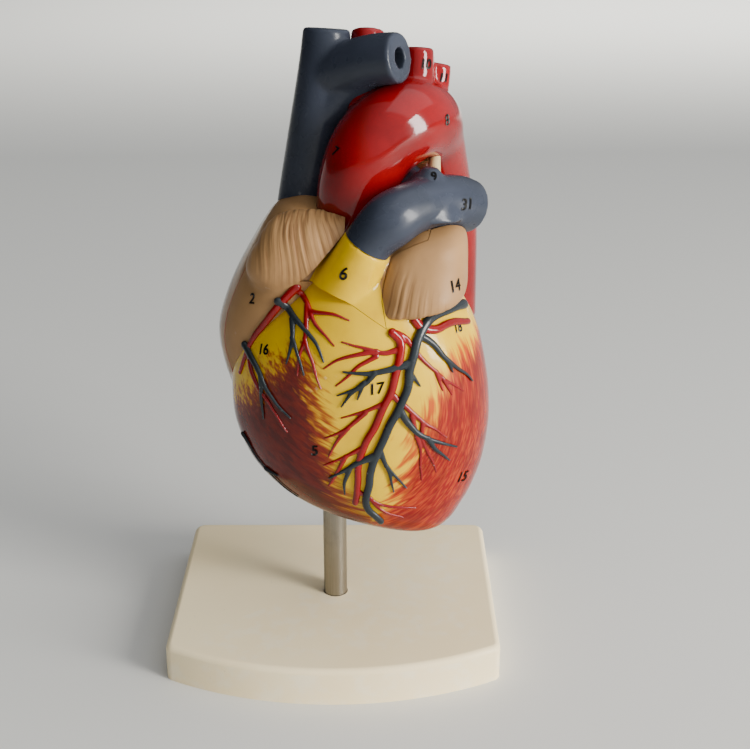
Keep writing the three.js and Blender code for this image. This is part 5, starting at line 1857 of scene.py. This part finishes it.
@dataclass
class Stand:
    """The moulded base, the rod and its screw and washer, in millimetres above the table."""

    width: float = 130
    depth: float = 117
    bow: float = 17
    thickness: float = 15
    wall: float = 3
    corner: float = 5
    edge_round: float = 2.4
    rib_wall: float = 2.4
    rib_drop: float = 9
    boss_radius: float = 10
    boss_rim: float = 1
    rod_foot: float = 7.5
    screw_recess: float = 5
    pad_radius: float = 6
    pad_spots: tuple[tuple[float, float], ...] = ((-50, -32.5), (50, -32.5), (-50, 43.5), (50, 43.5))
    shank_radius: float = 2.5
    shank_length: float = 12
    head_radius: float = 4.6
    head_height: float = 2.6
    washer_radius: float = 6.2
    washer_thickness: float = 1.0
    slot_size: float = 1.0
    corner_steps: int = 8
    bow_steps: int = 48

    def outline(self, inset: float) -> list[tuple[float, float]]:
        """The base seen from above, drawn in by a distance."""
        side, back = self.width / 2 - inset, self.depth / 2 - inset
        front = -self.depth / 2 + inset
        bow_radius = (side * side + self.bow * self.bow) / (2 * self.bow)
        swing = math.asin(side / bow_radius)
        round_by = max(self.corner - inset, 1)
        points = []
        for centre_x, start in ((side - round_by, 0), (-side + round_by, math.pi / 2)):
            for step in range(self.corner_steps + 1):
                turn = start + step / self.corner_steps * math.pi / 2
                y = back - round_by + round_by * math.sin(turn)
                points.append((centre_x + round_by * math.cos(turn), y))
        for step in range(self.bow_steps + 1):
            turn = -math.pi / 2 + swing * (step / (self.bow_steps / 2) - 1)
            points.append((bow_radius * math.cos(turn), front + bow_radius + bow_radius * math.sin(turn)))
        return points

    def slab(self, inset: float, low: float, high: float, edge: float = 0.0) -> Workpiece:
        """The outline carried up between two heights, with a rounded top edge."""
        corners = [(x * MM, y * MM, low * MM) for x, y in self.outline(inset)]
        mesh = extruded(corners, Vector((0, 0, (high - low) * MM)))
        bmesh.ops.recalc_face_normals(mesh, faces=mesh.faces)
        upright = [e for e in mesh.edges if abs(e.verts[0].co.z - e.verts[1].co.z) > MM]
        round_edges(mesh, [e for e in upright if e.calc_face_angle() > 1], self.corner * 0.5, 6)
        if edge:
            rim = [e for e in mesh.edges if min(v.co.z for v in e.verts) > (high - 0.01) * MM]
            round_edges(mesh, rim, edge, 6)
        return Workpiece(mesh)

    def cube(self, low: Sequence[float], high: Sequence[float]) -> Workpiece:
        """A block between two corners."""
        return Workpiece(box_between(Vector(low) * MM, Vector(high) * MM))

    def post(self, x: float, y: float, low: float, high: float, radius: float) -> Workpiece:
        """An upright round bar."""
        start, end = Vector((x, y, low)) * MM, Vector((x, y, high)) * MM
        return Workpiece(rod_between(start, end, radius * MM, sides=64))

    def base(self) -> None:
        """The hollow moulding with its ribs, boss and pads."""
        ceiling = self.thickness - self.wall
        top = ceiling + 0.5
        base = self.slab(0, 0, self.thickness, self.edge_round).cut(self.slab(self.wall, -1, ceiling))
        half, reach, front = self.rib_wall / 2, self.width / 2 - self.wall / 2, self.depth / 2 - self.wall / 2
        foot = ceiling - self.rib_drop
        added = [
            self.cube((-reach, -half, foot), (reach, half, top)),
            self.cube((-half, -front, foot), (half, front, top)),
            self.post(0, 0, self.screw_recess, top, self.boss_radius),
            *(self.post(x, y, 0, top, self.pad_radius) for x, y in self.pad_spots),
        ]
        base.fused(*added)
        base.cut(
            self.post(0, 0, -1, self.screw_recess, self.boss_radius - self.boss_rim),
            self.post(0, 0, self.rod_foot, 30, ROD_RADIUS + SLIP_GAP),
            self.post(0, 0, -1, 12, self.shank_radius + SLIP_GAP),
        )
        piece = base.finish("base_moulding", BASE_PLASTIC, Body.STAND, "base_plate")
        soften_edges(piece, 0.35)

    def rod(self) -> None:
        """The steel rod, tapped at its foot."""
        foot, top, lip, radius = self.rod_foot + SLIP_GAP, ROD_HIGH.z / MM, 0.6, ROD_RADIUS
        outline = (
            (0, foot), (radius - lip, foot), (radius, foot + lip), (radius, top - lip), (radius - lip, top),
            (0, top),
        )
        rod = turned(outline, sides=96)
        tap = self.rod_foot + SLIP_GAP + self.shank_length
        rod.cut(self.post(0, 0, -5, tap, self.shank_radius + SLIP_GAP))
        with_creases(rod.finish("support_rod_bar", ROD_STEEL, Body.ROD, "support_rod"))

    def fixing(self) -> None:
        """The screw and washer under the base."""
        washer_top = self.screw_recess - SLIP_GAP
        washer_low = washer_top - self.washer_thickness
        bore, rim, lip = self.shank_radius + SLIP_GAP, self.washer_radius, 0.2
        ring = (
            (bore, washer_low), (rim - lip, washer_low), (rim, washer_low + lip), (rim, washer_top - lip),
            (rim - lip, washer_top), (bore, washer_top),
        )
        washer = turned(ring, closed=True)
        with_creases(washer.finish("rod_washer_ring", SCREW_ZINC, Body.STAND, "rod_washer"))
        head_top = washer_low - SLIP_GAP
        head_low, tip = head_top - self.head_height, head_top + self.shank_length
        head, shank = self.head_radius, self.shank_radius
        shape = (
            (0, head_low), (head * 0.8, head_low), (head, head_low + 0.9), (head, head_top - 0.2),
            (head - 0.2, head_top), (shank, head_top), (shank, tip - 0.8), (shank - 0.8, tip), (0, tip),
        )
        screw = turned(shape)
        half = self.slot_size / 2
        screw.cut(self.cube((-half, -head, head_low - 1), (half, head, head_low + self.slot_size)))
        with_creases(screw.finish("rod_screw_turned", SCREW_ZINC, Body.STAND, "rod_screw"))

    def build(self) -> None:
        """Makes all the pieces."""
        self.base()
        self.rod()
        self.fixing()


def with_creases(thing: Piece, angle: float = 30.0) -> None:
    """Keeps the edges sharper than an angle in degrees crisp, and shades flats by their size."""
    thing.data.set_sharp_from_angle(angle=math.radians(angle))
    shading = thing.modifiers.new("shading", "WEIGHTED_NORMAL")
    shading.keep_sharp = True


def soften_edges(thing: Piece, width: float) -> None:
    """Rounds the sharp edges by a width in millimetres."""
    bevel = thing.modifiers.new("edges", "BEVEL")
    bevel.width = width * MM
    bevel.segments = 2
    bevel.limit_method = "ANGLE"
    bevel.angle_limit = math.radians(40)
    bevel.harden_normals = True
    with_creases(thing)


INK_DEPTH = 0.1
INK_SPREAD = 0.13
INK_FACE = 0.7


def spread_ink(mesh: Mesh) -> None:
    """Moves the outline of flat letters out, and splits their long faces so that they can follow a curve."""
    bmesh.ops.remove_doubles(mesh, verts=mesh.verts, dist=1e-6)
    moves = []
    for vertex in mesh.verts:
        out = Vector()
        for edge in vertex.link_edges:
            if edge.is_boundary:
                face = edge.link_faces[0]
                across = (edge.verts[1].co - edge.verts[0].co).cross(face.normal).normalized()
                inward = across.dot(face.calc_center_median() - edge.verts[0].co) > 0
                out += -across if inward else across
        moves.append(out.normalized() * INK_SPREAD * MM)
    for vertex, move in zip(mesh.verts, moves):
        vertex.co += move
    for _ in range(3):
        long = [edge for edge in mesh.edges if edge.calc_length() > INK_FACE * MM]
        bmesh.ops.subdivide_edges(mesh, edges=long, cuts=1)
        bmesh.ops.triangulate(mesh, faces=mesh.faces)


@dataclass(frozen=True)
class Number:
    """A printed number, with its place in the tables' millimetres, its height and its tilt in degrees."""

    text: str
    spot: Spot
    size: float
    piece: str
    tilt: float = 0.0
    rise: float = 0.16

    def letters(self) -> Mesh:
        """The number's flat mesh, tilted about the origin."""
        curve = bpy.data.curves.new("letters", "FONT")
        curve.body = self.text
        curve.size = self.size * MM / 0.7
        curve.align_x, curve.align_y = "CENTER", "CENTER"
        curve.resolution_u = 6
        curve.shear = 0.15
        letters = linked("letters", curve)
        mesh = bmesh.new()
        mesh.from_mesh(bpy.data.meshes.new_from_object(letters))
        bpy.data.objects.remove(letters)
        bpy.data.curves.remove(curve)
        spread_ink(mesh)
        bmesh.ops.rotate(mesh, matrix=Matrix.Rotation(math.radians(self.tilt), 3, "Z"), verts=mesh.verts)
        return mesh

    def build(self) -> None:
        """Lays the number on the face of the piece that the camera sees."""
        carrier = bpy.data.objects[self.piece]
        tree = BVHTree.FromObject(carrier, bpy.context.evaluated_depsgraph_get())
        aim = (place(*self.spot) - Vector(CAMERA_SPOT)).normalized()
        spot, normal, _, _ = tree.ray_cast(Vector(CAMERA_SPOT), aim)
        near = [found[1] for found in tree.find_nearest_range(spot, self.size * MM)]
        normal = sum((one for one in near if one.dot(normal) > 0.5), Vector()).normalized()
        up = (Vector((0, 0, 1)) - normal * normal.z).normalized()
        right = up.cross(normal)
        mesh = self.letters()
        for vertex in mesh.verts:
            flat = spot + right * vertex.co.x + up * vertex.co.y
            hit = tree.ray_cast(flat + normal * 2 * MM, -normal, 4 * MM)[0]
            vertex.co = (hit or flat) + normal * self.rise * MM
        skin = bmesh.ops.extrude_face_region(mesh, geom=mesh.faces[:])["geom"]
        for vertex in (one for one in skin if isinstance(one, bmesh.types.BMVert)):
            vertex.co += normal * INK_DEPTH * MM
        bmesh.ops.recalc_face_normals(mesh, faces=mesh.faces)
        body = Body(body_of(carrier)[0])
        piece = Workpiece(mesh).finish(f"number_{self.text}", NUMBER_INK, body)
        piece.data.polygons.foreach_set("use_smooth", [False] * len(piece.data.polygons))


NUMBERS = (
    Number("2", (-28.7, -18, 86.4), 3.8, "right_auricle_lobe", 8),
    Number("16", (-24.6, -25, 69.2), 3.8, "front_wall_painted", 12),
    Number("6", (5.2, -38, 102.3), 4.6, "back_wall_painted", -6),
    Number("17", (16.5, -41, 60.2), 4.2, "front_wall_painted", 8),
    Number("14", (44.4, -34, 96.4), 4.2, "left_auricle_lobe", 0),
    Number("18", (46.2, -26, 78), 3.6, "front_wall_painted", -4),
    Number("15", (49.2, -27, 18.4), 4.2, "front_wall_painted", -10),
    Number("5", (-6, -38, 34.5), 4.2, "front_wall_painted", 4),
    Number("7", (2.2, -16, 140.5), 3.6, "aorta_vessel", -14),
    Number("8", (42.2, -1, 148.4), 3.8, "aorta_vessel", 8),
    Number("31", (49.4, -12, 120.2), 4.0, "pulmonary_trunk_vessel", -4),
    Number("9", (37.2, -16, 131.5), 3.2, "pulmonary_trunk_vessel", 4),
    Number("10", (34.4, 4, 167.6), 3.4, "aorta_vessel", -6),
    Number("11", (41.3, 12, 161.4), 3.0, "aorta_vessel", -10),
)


@dataclass(frozen=True)
class AreaLight:
    """A square soft light, in metres and watts."""

    name: str
    spot: Spot
    size: tuple[float, float]
    power: float
    colour: Spot = (1.0, 1.0, 1.0)
    roll: float = 0.0

    def build(self, target: Vector) -> None:
        """Adds the light, turned to a target."""
        data = bpy.data.lights.new(self.name, "AREA")
        data.shape = "RECTANGLE"
        data.size, data.size_y = self.size
        data.energy = self.power
        data.color = self.colour
        lamp = linked(self.name, data)
        lamp.location = self.spot
        lamp.visible_camera = False
        aim = (target - Vector(self.spot)).to_track_quat("-Z", "Y").to_matrix()
        lamp.rotation_euler = (aim @ Matrix.Rotation(math.radians(self.roll), 3, "Z")).to_euler()


@dataclass
class Studio:
    """The pale floor, the soft lights and the photograph's camera."""

    camera_pitch: float = 68.1
    camera_lens: float = 64.8
    floor_size: float = 12.0
    floor_colour: str = "d5d4ce"
    dim: float = 0.04
    bright: float = 1.05
    backdrop: float = 0.8
    bright_way: Spot = (0.82, -0.35, 0.45)

    def floor(self) -> None:
        """Adds the floor."""
        mesh = bmesh.new()
        bmesh.ops.create_grid(mesh, x_segments=2, y_segments=2, size=self.floor_size / 2)
        floor = Workpiece(mesh).thing
        floor.name = "studio_floor"
        made = bpy.data.materials.new("studio_paper")
        made.use_nodes = True
        shader = made.node_tree.nodes["Principled BSDF"]
        shader.inputs["Base Color"].default_value = linear(self.floor_colour)
        shader.inputs["Roughness"].default_value = 0.75
        floor.data.materials.append(made)

    def camera(self) -> None:
        """Adds the camera."""
        data = bpy.data.cameras.new("photo_camera")
        data.lens = self.camera_lens
        data.sensor_width = 36
        data.clip_start = 0.01
        camera = linked("photo_camera", data)
        camera.location = CAMERA_SPOT
        camera.rotation_euler = (math.radians(self.camera_pitch), 0, 0)
        bpy.context.scene.camera = camera

    def world(self) -> None:
        """Adds the light of a room that is bright at its right and dim at its left."""
        world = bpy.data.worlds.new("room")
        world.use_nodes = True
        graph = Graph(world.node_tree)
        way = graph.add("TexCoord").outputs["Generated"]
        inputs = {0: way, 1: self.bright_way}
        toward = graph.add("VectorMath", inputs, operation="DOT_PRODUCT").outputs["Value"]
        seen = graph.times(graph.add("LightPath").outputs["Is Camera Ray"], self.backdrop)
        strength = graph.math("MAXIMUM", graph.spread(toward, -0.4, 1.0, self.dim, self.bright), seen)
        background = world.node_tree.nodes["Background"]
        background.inputs["Color"].default_value = (0.93, 0.96, 1.0, 1)
        graph.feed(background.inputs["Strength"], strength)
        bpy.context.scene.world = world

    def build(self) -> None:
        """Sets up the studio."""
        self.floor()
        self.camera()
        self.world()
        middle = Vector((0, 0, 0.13))
        AreaLight("window", (1.18, -0.64, 0.34), (0.36, 1.2), 50.0, (1.0, 0.98, 0.94), 25.0).build(middle)
        AreaLight("ceiling", (0.9, -0.3, 1.9), (2.0, 2.0), 12.0, (0.98, 0.98, 1.0)).build(middle)
        AreaLight("far_wash", (0.9, 1.7, 1.4), (2.4, 1.0), 120.0, (1.0, 0.99, 0.95)).build(
            Vector((0.8, 4.2, 0)),
        )


def main() -> None:
    """Builds the model's pieces from the inside out, then the studio."""
    logging.basicConfig(level=logging.INFO, format="%(name)s %(message)s")
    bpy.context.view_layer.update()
    forms = Forms()
    rooms = forms.rooms()
    skin = forms.ventricles.blank().joined(*forms.atria()).remeshed(0.9, smooth=3)
    outer = forms.ventricles.blank().fused(*forms.atria(), forms.cone(), forms.left_ear.blank())
    back = BackHalf(forms, outer, rooms)
    back.build()
    pockets = back.pockets()
    FrontHalf(forms, rooms, pockets).build()
    GreatVessels(forms).build()
    SurfaceVessels(skin).build()
    Inside(forms).build()
    Stand().build()
    for number in NUMBERS:
        number.build()
    for spare in (rooms, skin, outer):
        spare.scrap()
    Studio().build()
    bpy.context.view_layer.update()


if __name__ == "__main__":
    main()
